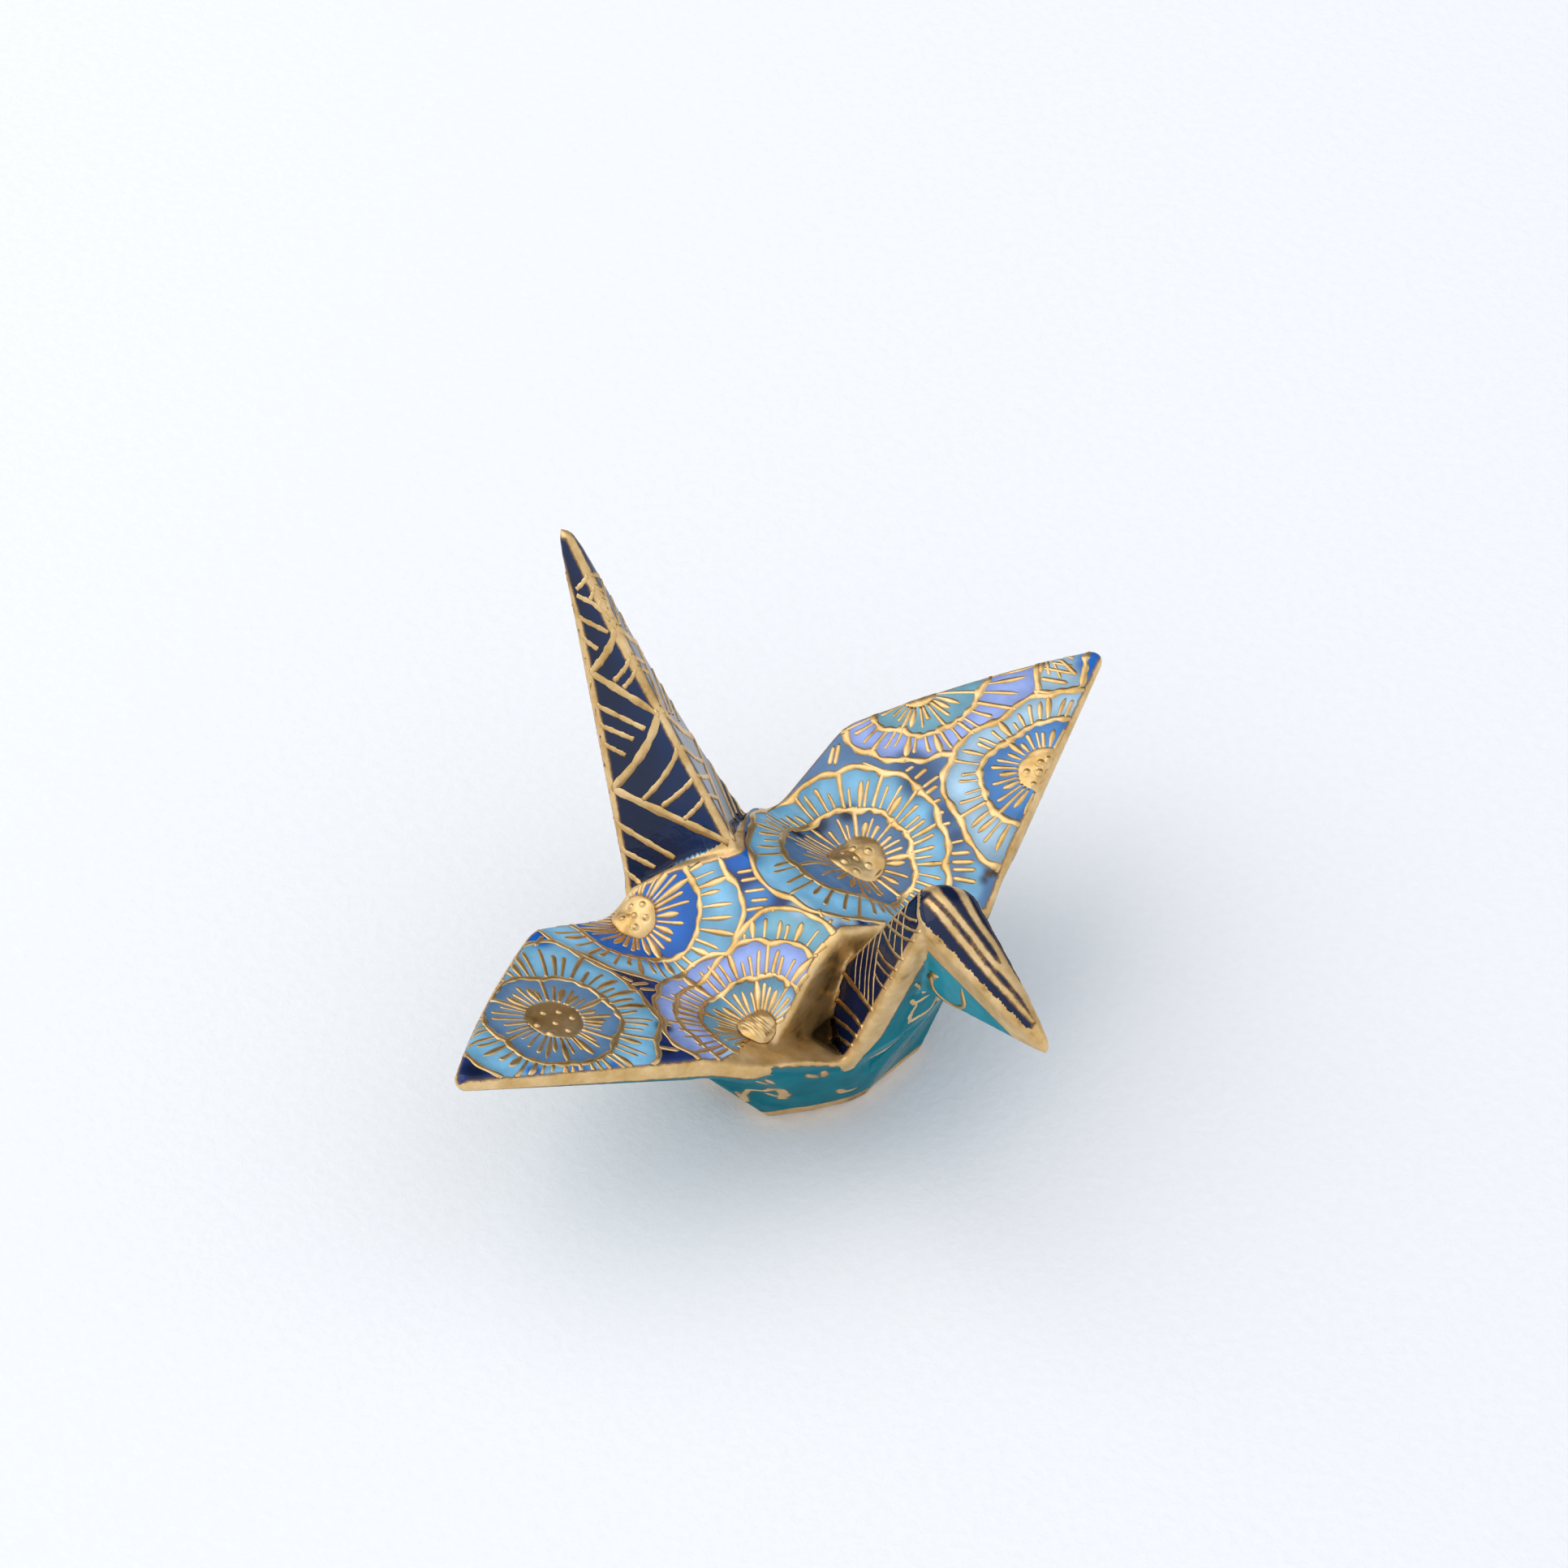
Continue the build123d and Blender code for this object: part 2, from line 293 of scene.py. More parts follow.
# One of these blues is only a painted sheen on the tail, towards its ridge
navy, royal, denim, slate, sky, turquoise, frost, cobalt, sheen_blue, ink = linear([
    (10, 24, 54), (0, 92, 178), (92, 126, 160), (84, 118, 156), (158, 192, 220), (112, 170, 202),
    (146, 178, 198), (62, 122, 184), (0, 38, 84), (52, 78, 118),
])
umber, violet, mist, sea, teal, lagoon, ground, milk, biscuit = linear([
    (66, 48, 22), (136, 156, 214), (98, 146, 172), (104, 156, 174), (0, 104, 116), (44, 132, 148),
    (26, 44, 96), (205, 220, 232), (225, 220, 208),
])

# One chrysanthemum each row: its centre and its disc's radius on the unfolded sheet, then its rings of
# petals from the disc outwards. A ring has its colour, its count of rays, how many rays make a lobe, and
# its outer edge as pairs of angle and radius. A flower lies over those that come after it.
flowers = {
    "b": ((12.8, 1.6), 2.9, [
        (slate, 32, 4, [(15, 5.4), (50, 5.8), (80, 6.5), (122, 7.3), (156, 8.5), (175, 9.5), (195, 9.7),
                        (218, 9.3), (240, 7.6), (263, 6.6), (295, 5.9), (337, 5.3)]),
        (turquoise, 52, 4, [(14, 9.5), (34, 9.8), (60, 10.3), (90, 10.6), (130, 10.8), (151, 11.6),
                            (167, 13.1), (180, 13.9), (198, 14.3), (212, 14.2), (227, 13.3), (260, 11.0),
                            (294, 9.4), (313, 9.0), (334, 8.9), (353, 9.2)]),
    ]),
    "d": ((31.1, -6.3), 2.6, [
        (cobalt, 32, 8, [(22, 6.1), (48, 5.1), (79, 5.0), (96, 5.3), (117, 6.0), (145, 5.9), (160, 6.1),
                         (185, 6.7), (202, 6.3), (270, 6.0)]),
        (frost, 44, 5, [(20, 9.5), (29, 9.0), (49, 8.6), (68, 7.7), (79, 7.6), (100, 8.4), (111, 9.1),
                        (132, 9.6), (154, 9.5), (167, 9.5), (180, 9.9), (196, 11.3), (215, 11.8),
                        (270, 10.0)]),
    ]),
    "g": ((-30.7, 1.2), 2.8, [
        (denim, 36, 6, [(0, 6.4), (45, 6.3), (90, 6.3), (135, 6.6), (180, 6.4), (225, 6.8), (270, 6.2),
                        (315, 6.0)]),
        (turquoise, 52, 5, [(0, 10.5), (30, 10.8), (45, 12.0), (60, 11.4), (90, 11.0), (180, 10.8),
                            (215, 10.5), (270, 10.2), (300, 10.0), (320, 9.5), (340, 10.2)]),
    ]),
    "f": ((-12.4, -7.7), 1.9, [
        (mist, 34, 4, [(0, 5.2), (32, 5.2), (55, 5.1), (81, 5.6), (104, 5.6), (138, 5.5), (172, 5.4),
                       (270, 5.4)]),
        (violet, 46, 4, [(0, 8.7), (22, 8.6), (37, 8.6), (50, 8.5), (63, 8.6), (78, 9.5), (90, 10.0),
                         (111, 10.0), (132, 9.9), (151, 9.8), (170, 10.6), (184, 10.6), (270, 9.0)]),
        (sea, 50, 6, [(3, 11.8), (16, 11.8), (24, 11.9), (34, 12.1), (42, 11.5), (47, 10.3), (58, 8.4),
                      (90, 8.0), (180, 8.0), (270, 8.0), (340, 11.8)]),
    ]),
    "a": ((-11.3, 10.2), 2.3, [
        (royal, 34, 8, [(0, 7.0), (90, 7.0), (160, 7.1), (180, 6.7), (200, 6.4), (240, 5.3), (264, 6.4),
                        (281, 6.6), (320, 6.9), (343, 7.0)]),
        (turquoise, 44, 4, [(0, 9.8), (90, 9.8), (160, 11.5), (171, 11.4), (186, 10.8), (199, 9.9),
                            (217, 9.6), (239, 9.4), (260, 9.6), (290, 11.3), (303, 11.6), (312, 11.0),
                            (325, 10.6), (335, 9.8)]),
    ]),
    "c": ((29.8, 9.6), 1.8, [
        (sea, 28, 4, [(90, 5.0), (180, 4.9), (200, 4.6), (235, 4.9), (260, 5.3), (282, 5.4), (310, 6.2),
                      (322, 7.0)]),
        (violet, 40, 3, [(90, 9.0), (178, 8.1), (199, 7.9), (226, 7.7), (241, 7.9), (256, 8.4), (279, 9.0),
                         (298, 10.6), (306, 11.5), (319, 11.5), (323, 12.1)]),
    ]),
    "e": ((41.5, 4.0), 1.2, [
        (frost, 26, 26, [(90, 4.0), (180, 5.2), (215, 5.6), (228, 5.8), (245, 6.2), (256, 6.8), (270, 5.4),
                         (290, 4.5)]),
    ]),
}

# Touches of a deeper or paler blue laid over the petals, each as unfolded distance, y and reach
touches = [
    (navy, [(13.4, 7.6, 1.1), (16.2, 6.0, 1.0), (10.4, 8.0, 1.2), (-18.8, 2.8, 1.5), (-22.2, -4.6, 0.9),
            (-24.6, -7.2, 0.9), (-42.4, -0.8, 1.2), (18.8, -9.9, 0.5)]),
    (royal, [(-0.6, 5.4, 1.7), (-33.8, -5.9, 1.3), (-37.5, -3.6, 0.9), (-30.4, -6.9, 0.9),
             (42.6, -1.2, 1.5), (-16.6, 8.2, 1.6), (-13.4, 5.2, 1.4), (-23.6, 11.0, 1.2)]),
    (sky, [(-18.6, -10.2, 1.1), (-9.0, -8.3, 1.2)]),
    (ink, [(22.9, 2.4, 2.2), (21.4, -2.2, 1.5), (20.4, -4.8, 1.0), (23.8, 4.6, 1.6)]),
    (turquoise, [(17.4, -9.4, 1.3), (18.9, -8.6, 0.9)]),
    (cobalt, [(-2.7, 1.0, 1.6), (-4.0, -0.2, 1.1)]),
    (frost, [(0.2, -6.2, 1.2), (-1.0, -3.2, 1.2), (1.4, -7.3, 0.9)]),
    (umber, [(19.7, -9.9, 0.5), (20.2, -10.3, 0.4)]),
]


def ring_radius(ring, angle):
    """Outer radius of a ring at an angle in degrees: its pairs joined and smoothed, plus lobes that swell
    between cusps as the size of a sine."""
    hue, rays, lobe, pairs = ring
    around = np.arange(-30, 390)
    joined = np.interp(around, *np.array(sorted(pairs)).T, period=360)
    soft = np.convolve(joined, np.hanning(21) / np.hanning(21).sum(), "same")
    swell = np.abs(np.sin(np.radians(angle) * rays / lobe / 2))
    depth = 0.45 if lobe < rays else 0.0
    return np.interp(angle % 360, around, soft) + depth * (swell - 0.6)


def flower_polar(name, s, y):
    """Distance and angle in degrees of points from a flower's centre."""
    (cs, cy), disc, rings = flowers[name]
    return np.hypot(s - cs, y - cy), np.degrees(np.arctan2(y - cy, s - cs)) % 360


# Width of the gold along the sheet's front edge, and along its rear edge, read against the unfolded
# distance
front_gold = [(-45, 0.3), (-24, 0.35), (-20, 0.9), (-17.5, 2.2), (-15.5, 2.5), (-12, 1.3), (-10, 0.5),
              (-6, 0.6), (-4.5, 0.95), (-2, 1.3), (0, 1.0), (3, 0.45), (6, 0.3), (17, 0.5), (45, 0.3)]
rear_gold = [(-45, 0.35), (-14, 0.35), (-12, 0.6), (-9, 1.15), (0, 1.25), (2, 0.7), (4, 0.4), (45, 0.35)]
wing_tip_y = -1.0


def gold_on_sheet(s, y):
    """How far a point of the sheet lies inside its gold edge, negative on the enamel."""
    front_width, rear_width = (np.interp(s, *np.array(pairs).T) for pairs in (front_gold, rear_gold))
    return np.where(y < wing_tip_y, front_width, rear_width) - edge_distance(folded(s), y)


def sheet_colour(s, y):
    """Enamel at points of the sheet: the first flower that reaches them, ring by ring. A petal is milky in
    its middle and darker along its edges, and an innermost ring deepens outwards. Touches of other blues lie
    over it."""
    colour = np.where((s > 3)[:, None], slate, ground)
    for name in reversed(list(flowers)):
        (cs, cy), disc, rings = flowers[name]
        away, angle = flower_polar(name, s, y)
        inner = [np.full(len(s), disc)] + [ring_radius(ring, angle) for ring in rings]
        for k in range(len(rings) - 1, -1, -1):
            hue, rays, lobe, pairs = rings[k]
            middle = np.clip((away - inner[k]) / np.maximum(inner[k + 1] - inner[k], 0.1), 0, 1)
            swell = np.abs(np.sin(np.radians(angle) * rays / lobe / 2))
            pool = np.sin(np.pi * middle) * (0.6 + 0.4 * swell)
            if k == 0:
                pool = 1.1 * (1 - middle) ** 0.7
            pool = pool[:, None]
            shade = hue * (0.7 + 0.42 * pool) + milk * (0.22 * hue.mean() - 0.02) * pool**2
            colour = np.where((away < inner[k + 1])[:, None], shade, colour)
    for hue, spots in touches:
        for ts, ty, reach in spots:
            share = np.exp(-(((s - ts) ** 2 + (y - ty) ** 2) / reach**2) ** 2)[:, None]
            colour = colour * (1 - share) + hue * share
    return colour


skin_points, skin_faces, skin_edges = remeshed(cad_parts["crane"], skin_cell)
skin_points = smoothed(skin_points, skin_edges, even_steps, 1.0)
from_middle = np.abs(skin_points[:, 0])
off_rim = line_distance(np.stack([from_middle, *skin_points[:, 1:].T], 1), rim_line)
swell = np.exp(-(((from_middle - swell_from_middle) / swell_width) ** 2) - (off_rim / swell_depth) ** 2)
skin_points[:, 2] += swell_rise * swell
near = np.clip(1.4 - off_rim / rim_reach, 0, 1)[:, None]
skin_points = smoothed(skin_points, skin_edges, np.full(rim_turns, soft_step), near)
for line, reach, turns in soft_edges:
    near = np.clip(1.6 - line_distance(skin_points, line) / reach * 1.6, 0, 1)[:, None]
    skin_points = smoothed(skin_points, skin_edges, np.full(turns, soft_step), near)
towards_tip = np.clip((beak_thin_from - skin_points[:, 1]) / beak_thin_length, 0, 1)
skin_points[:, 0] *= 1 - beak_thinning * towards_tip**1.4
skin_normals = corner_normals(skin_points, skin_faces)

# Every point of the skin gets its enamel's colour and its gilding: how far it lies inside the gold, in
# millimetres, and below nought on the enamel. Each part of the crane is found by its place and its facing.
x, y, z = skin_points.T
nx, ny, nz = skin_normals.T
count = len(x)
s = unfolded(x)
depth = sheet_height(x) - z
inside = edge_distance(x, y)
mirrored_skin = np.stack([np.abs(x), y, z], 1)
far_from_gold = -5.0
colour = np.tile(teal, (count, 1))
gilding = np.full(count, far_from_gold)


def gild(part, depth_in_gold):
    """Adds gold to the part of the skin that a mask picks, from its depth at every point of the skin."""
    gilding[part] = np.maximum(gilding, depth_in_gold)[part]


# Sheet: flowers on top, gold round its edge, teal underneath. Its top is what faces up within a millimetre of
# the folded surface. The gold reaches down its wall by a depth that is greatest at the hump.
over = (depth < 1.0) & (inside > -0.2) & (nz > 0.35)
colour[over] = sheet_colour(s[over], y[over])
gilding[over] = gold_on_sheet(s[over], y[over])
wall = np.interp(np.abs(x), [0, 10.5, 13.0, 19.5, 42.5], [3.4, 2.4, 1.9, 2.1, 1.5])
reach_in = np.where(x > 0, np.interp(x, [6, 10, 18, 24], [0.8, 2.0, 2.0, 0.8]), 0.8)
round_edge = (np.abs(inside) < reach_in) & (depth < wall + 1.0) & ~over & (z > 12.0)
gilding[round_edge] = np.minimum(wall - depth, 3.0)[round_edge]

# Hollow in front of the hump, and its rim: gold inside, and outside down to a wavy line on the body, which
# runs beside the plane through the neck's root, the wing's front root and the hollow's edge
front_root, beach_edge = np.array([(14.7, -12.3, 18.2), (6, -9.2, 14)])


def height_over(a, b, c):
    """Distance of the skin's points, brought to one side, above the plane through three points."""
    up = np.cross(b - a, c - a)
    return (mirrored_skin - a) @ up / np.linalg.norm(up)


beach = height_over(neck_root, front_root, beach_edge)
slot = height_over(neck_root, beach_edge, hollow)
wave = np.interp(np.abs(x), [5, 6, 7.5, 10, 12.5, 14.7, 17], [0.9, 0.8, 0.4, 0.3, 0.2, 0.3, 0.4])
front = (inside < 0.9) & (y < -6.0) & (np.abs(x) < 16) & (z > 5) & ~over
gild(front, beach + wave + 0.08 * np.sin(x * 5.1))
in_slot = front & (slot > -0.4) & ((ny > -0.3) | (y > -10.5))
in_slot |= (np.abs(x) < 6.2) & (y > -10.2) & (y < -5.0) & (z > 6.2) & (z < 14.5) & (nz > -0.3) & ~over
gild(in_slot, 1.0)

# Foot: a gold band of uneven height round it, and bare biscuit underneath
way_round = np.arctan2(y, x)
band = 1.8 + 0.4 * np.sin(way_round * 3 + 1) + 0.14 * np.sin(way_round * 11)
low = z < 4
gilding[low] = (band - z)[low]
bare = (z < 0.1) & (nz < -0.8)
colour[bare] = biscuit
gilding[bare] = far_from_gold


def edge_at(*points):
    """x and y of an edge at the height of each point of the skin: straight between the edge's points, and
    straight on above the last."""
    points = np.array([*points, 2 * points[-1] - points[-2]], float)
    return np.stack([np.interp(z, points[:, 2], points[:, k]) for k in range(2)], 1)


def face_place(side, ridge):
    """Width of a face from its side edge to its ridge at each point's height, and the point's distance from
    that side, measured towards the ridge."""
    run = ridge - side
    width = np.linalg.norm(run, axis=1)
    return width, ((mirrored_skin[:, :2] - side) * run).sum(1) / width


# Tail: navy faces with a painted blue sheen towards the ridge, between gold edges that narrow towards the tip
tail_side, tail_ridge = edge_at(tail_root, tail_tip), edge_at(tail_ridge_root, tail_ridge_tip)
width, tail_u = face_place(tail_side, tail_ridge)
on_tail = (z > 16.2) & (y > 6.0) & (y > tail_ridge[:, 1] - 1.0) & ~over & (inside < 0.4)
face = on_tail & (ny < 0.35)
rear = on_tail & ~face
# Painted sheen: the navy is mixed towards a lighter blue near the ridge
painted_ridge_sheen = np.clip(tail_u / width - 0.35, 0, 0.5)[:, None] * 1.6
taper = np.clip(width / 5, 0.35, 1)
colour[on_tail] = (navy + (sheen_blue - navy) * painted_ridge_sheen)[on_tail]
gilding[face] = np.maximum(1.25 * taper - tail_u, tail_u - (width - 1.5 * taper))[face]
gilding[rear] = (np.abs(x) - tail_side[:, 0] + 0.7)[rear]
gild(on_tail, z - 47.0)

# Neck: navy sides between gold edges, teal front with a broad gold border
neck_side = edge_at(neck_base, neck_root, neck_top)
neck_ridge = edge_at(hollow, neck_ridge_root, neck_ridge_top)
width, neck_u = face_place(neck_side, neck_ridge)
ahead = neck_side[:, 1] - 0.25 - y
between_sides = np.abs(x) < neck_side[:, 0] + 0.4
in_neck = between_sides & (y < neck_ridge[:, 1] + 0.5) & (z > 6.3) & ~over
turned = (z > neck_root[2]) | (nx * np.sign(x) > 0.1) | (np.abs(x) < 0.6)
neck_face = in_neck & (ny > -0.25) & (ahead < 0.3) & turned
neck_front = between_sides & (z > 12) & (z < 36) & (ny < -0.25) & (y < -12) & (ahead < 0.6)
colour[neck_face] = navy
pillar = np.interp(z, [18, 30, 36], [0.9, 0.7, 0.4])
gilding[neck_face] = np.maximum(1.4 - neck_u, neck_u - (width - pillar))[neck_face]
border = np.where(x < 0, np.interp(z, [12, 17], [0.7, 2.9]), np.interp(z, [13.6, 15.5], [-0.6, 1.0]))
gilding[neck_front] = np.maximum(border - (neck_side[:, 0] - np.abs(x)), z - 36)[neck_front]

# Head: navy crown, teal cheeks with a gold border, gold beak
keel = np.interp(y, [beak_keel[1], chin[1]], [beak_keel[2], chin[2]])
head_half, brow_z = (np.interp(y, [beak_side[1], neck_top[1]], [beak_side[k], neck_top[k]]) for k in (0, 2))
in_head = (((ahead > 0.35) & (z > keel - 0.4)) | ((z > 35.5) & (y < -17.0))) & (y < -17)
crown = in_head & (nz > 0.45) & (z > brow_z - 0.3)
cheek = in_head & ~crown
colour[crown] = navy
colour[cheek] = lagoon
gilding[crown] = (np.abs(x) - head_half + np.where(x < 0, 0.32, 0.1))[crown]
border = np.interp(y, [-33, -29.4, -25.4, -20.8, -17], [5.4, 4.2, 4.0, 4.2, 3.6])
gilding[cheek] = (border - (brow_z - z))[cheek]
gild(in_head, -32.9 - y)

# Three broad stripes on the crown run together towards the beak, each as rows of x, y, z and half width
crown_stripes = [
    [(-1.3, -20.1, 37.0, 0.3), (-1.5, -21.8, 37.0, 0.33), (-1.37, -23.4, 35.9, 0.35),
     (-1.14, -25.4, 34.6, 0.35), (-0.99, -27.0, 33.6, 0.33), (-0.76, -28.7, 32.5, 0.3),
     (-0.49, -29.9, 31.75, 0.28), (-0.26, -31.6, 30.7, 0.26), (-0.07, -32.6, 30.1, 0.25)],
    [(0.1, -18.6, 36.6, 0.5), (0.0, -19.6, 37.2, 0.48), (-0.3, -20.6, 37.4, 0.42),
     (-0.46, -22.0, 37.1, 0.36), (-0.31, -23.3, 36.3, 0.33), (-0.15, -24.7, 35.4, 0.33),
     (-0.12, -26.1, 34.4, 0.34), (0.04, -27.4, 33.6, 0.36), (0.5, -28.6, 32.65, 0.42),
     (0.6, -29.8, 31.8, 0.42)],
    [(2.0, -19.4, 36.6, 0.5), (1.9, -20.6, 36.6, 0.5), (1.5, -22.1, 36.8, 0.46), (1.3, -23.2, 36.1, 0.42),
     (1.2, -24.5, 35.3, 0.38), (1.3, -25.8, 34.3, 0.36), (1.3, -26.8, 33.6, 0.38),
     (1.03, -28.0, 32.9, 0.46), (0.9, -29.2, 32.1, 0.55), (0.85, -30.7, 31.1, 0.55),
     (0.7, -32.0, 30.3, 0.5), (0.6, -33.1, 29.6, 0.5)],
]


def paint_stripes(part, places, stripes):
    """Adds gold stripes to the part of the skin that a mask picks. A place lies inside a stripe by the
    stripe's half width at the nearest spot of each run, less the distance to it, the greatest of all
    runs."""
    places = places[part][:, None]
    for rows in stripes:
        a, run = np.array(rows[:-1]), np.diff(rows, axis=0)
        share = ((places - a[:, :3]) * run[:, :3]).sum(-1) / (run[:, :3] ** 2).sum(-1)
        near = a + np.clip(share, 0, 1)[..., None] * run
        inside_stripe = near[..., 3] - np.linalg.norm(places - near[..., :3], axis=-1)
        gilding[part] = np.maximum(gilding[part], inside_stripe.max(1))


paint_stripes(crown, skin_points, crown_stripes)

# Leaves, a pair of wings and a curl on the front of the body, on its right
body_scrolls = [
    [(11.95, -9.15, 12.1, 0.3), (11.5, -9.4, 11.7, 0.42), (11.2, -9.6, 11.5, 0.25)],
    [(12.3, -10.7, 13.6, 0.25), (11.7, -10.5, 12.9, 0.4), (11.1, -10.3, 12.1, 0.3)],
    [(9.0, -12.8, 13.4, 0.28), (8.3, -12.6, 12.6, 0.45), (7.6, -12.6, 11.9, 0.3)],
    [(7.5, -13.4, 13.5, 0.3), (7.0, -13.0, 12.6, 0.4), (6.8, -12.7, 11.9, 0.3)],
    [(9.87, -5.46, 4.77, 0.3), (10.66, -5.97, 6.68, 0.3), (11.01, -6.89, 8.39, 0.32),
     (10.48, -7.55, 8.42, 0.3), (9.95, -8.09, 8.39, 0.32), (9.92, -9.05, 9.42, 0.45),
     (9.52, -9.66, 9.52, 0.5), (8.29, -8.97, 7.32, 0.6), (7.9, -8.2, 5.8, 0.5)],
    [(9.46, -7.84, 7.46, 0.28), (8.64, -8.02, 6.63, 0.3)],
    [(3.2, -10.9, 5.8, 0.3), (2.4, -10.66, 4.7, 0.5), (1.83, -10.93, 4.6, 0.35), (1.0, -10.97, 4.35, 0.2)],
    [(11.44, -5.77, 7.45, 0.2), (9.96, -5.2, 4.63, 0.25)],
]
body = (z < 16) & (z > 0.5) & (y < 0) & (nz < 0.2) & (x < 4) & ~in_slot
paint_stripes(body, mirrored_skin, body_scrolls)

# The same curls and leaves go on round the body, as rows of the way round, the height, nought and half
# width
wrapped_scrolls = [
    [(-3.4, 5.2, 0, 0.25), (-2.9, 7.4, 0, 0.3), (-1.2, 9.2, 0, 0.32), (1.0, 9.9, 0, 0.4),
     (2.7, 9.0, 0, 0.5), (2.9, 7.5, 0, 0.5), (1.8, 6.8, 0, 0.4)],
    [(0.6, 8.3, 0, 0.25), (1.5, 8.5, 0, 0.3)],
    [(-5.0, 9.6, 0, 0.2), (-4.3, 10.2, 0, 0.42), (-3.5, 10.6, 0, 0.25)],
    [(4.6, 11.2, 0, 0.25), (5.0, 10.3, 0, 0.45), (4.8, 9.5, 0, 0.3)],
    [(5.7, 11.0, 0, 0.25), (5.8, 10.2, 0, 0.4), (5.4, 9.4, 0, 0.3)],
    [(-0.9, 5.4, 0, 0.2), (0.1, 5.0, 0, 0.4), (1.2, 5.2, 0, 0.2)],
]
turn_mm = 11.0
for turn, lift in ((-18, 0.0), (42, 0.6), (97, -0.4), (152, 0.5)):
    gap = (np.degrees(way_round) - turn + 180) % 360 - 180
    sector = (z < 13.5) & (z > 1.5) & (np.abs(gap) < 42) & ((y > -7) | (x > 0)) & (nz < 0.3)
    wrapped = np.stack([np.radians(gap) * turn_mm, z - lift, 0 * z], 1)
    paint_stripes(sector, wrapped, wrapped_scrolls)

# Painted shade: the gold is painted darker brown in the hollow and on the wall round it, more so further back
# in it, a little on the foot band, throat and cheeks, and least on the open sheet
gilt = gilding > 0
painted_gold_shade = 0.11 * (front & gilt) * np.clip((y + 11.8) / 3, 0, 1)
painted_gold_shade += 0.06 * low + 0.03 * ((neck_front | cheek) & gilt)


def gold_nodes():
    """Shader node group for fired gold: the colour, roughness and height of thin brushed gold, uneven and
    brown here and there, and darker brown as painted shade where its shade input is higher."""
    group = bpy.data.node_groups.new("fired gold", "ShaderNodeTree")
    for name, kind in (("Painted shade", "Float"), ("Color", "Color"), ("Roughness", "Float"), ("Height", "Float")):
        way = "INPUT" if name == "Painted shade" else "OUTPUT"
        group.interface.new_socket(name, in_out=way, socket_type="NodeSocket" + kind)
    starts, ends = group.nodes.new("NodeGroupInput"), group.nodes.new("NodeGroupOutput")
    place = add_node(group, "TexCoord").outputs["Object"]
    cloud = add_node(group, "TexNoise", {"Vector": place}, Scale=350.0, Detail=5.0, Roughness=0.6)
    fine = add_node(group, "TexNoise", {"Vector": place}, Scale=2600.0, Detail=3.0, Roughness=0.7)
    mottle_and_shade = add_node(group, "Math", {0: cloud, 1: starts}, operation="ADD")
    tone = add_node(group, "ValToRGB", {"Fac": mottle_and_shade})
    tone.color_ramp.elements[0].position = 0.34
    tone.color_ramp.elements[0].color = (0.80, 0.56, 0.28, 1)
    tone.color_ramp.elements[1].position = 0.62
    tone.color_ramp.elements[1].color = (0.57, 0.355, 0.125, 1)
    brown_mottle_and_shade = tone.color_ramp.elements.new(0.78)
    brown_mottle_and_shade.color = (0.22, 0.115, 0.04, 1)
    rough = add_node(group, "MapRange", {"Value": fine}, To_Min=0.26, To_Max=0.46)
    feed(group, ends, {"Color": tone, "Roughness": rough, "Height": fine})
    return group


fired_gold = gold_nodes()

glaze, tree, shader = new_material("enamel and gold")
place = add_node(tree, "TexCoord").outputs["Object"]
painted = add_node(tree, "Attribute", attribute_name="enamel")
gilded = add_node(tree, "Attribute", attribute_name="gilding").outputs["Fac"]
ragged = add_node(tree, "TexNoise", {"Vector": place}, Scale=1500.0, Detail=3.0, Roughness=0.65)
# Gold lies where the gilding, made a little ragged by a fine noise, is above nought
shift = add_node(tree, "Math", {0: ragged, 1: 0.32, 2: -0.16}, operation="MULTIPLY_ADD")
edge = add_node(tree, "Math", {0: gilded, 1: shift}, operation="ADD")
is_gold = add_node(tree, "MapRange", {"Value": edge}, From_Min=-0.03, From_Max=0.03)
# The gold's painted shade, kept on the skin's points
mottle_and_shade = add_node(tree, "Attribute", attribute_name="painted_gold_shade").outputs["Fac"]
gold = add_node(tree, "Group", {"Painted shade": mottle_and_shade}, node_tree=fired_gold)
# The enamel is uneven in strength, and brown where the gold burnt it along its edge
brush = add_node(tree, "TexNoise", {"Vector": place}, Scale=260.0, Detail=4.0, Roughness=0.6)
dapple = add_node(tree, "MapRange", {"Value": brush}, From_Min=0.3, From_Max=0.7,
                  To_Min=0.78, To_Max=1.22)
enamel = add_node(tree, "VectorMath", {0: painted, 1: dapple}, operation="MULTIPLY")
covered = add_node(tree, "Mix", {"Factor": is_gold, "A": enamel, "B": gold}, data_type="RGBA")
from_line = add_node(tree, "Math", {0: edge}, operation="ABSOLUTE")
burnt = add_node(tree, "MapRange", {"Value": from_line}, From_Min=0.02, From_Max=0.16,
                 To_Min=0.75, To_Max=0.0)
skin_colour = add_node(tree, "Mix", {"Factor": burnt, "A": covered, "B": (0.20, 0.10, 0.035, 1)},
                       data_type="RGBA")
skin_rough = add_node(tree, "Mix", {"Factor": is_gold, "B": gold.outputs["Roughness"]}, A=0.09)
ripple = add_node(tree, "Bump", {"Height": brush}, Strength=0.12, Distance=0.0006)
lift = add_node(tree, "Bump", {"Height": is_gold, "Normal": ripple}, Strength=0.6, Distance=0.00006)
metal = add_node(tree, "MapRange", {"Value": edge}, From_Min=-0.03, From_Max=0.03, To_Max=0.62)
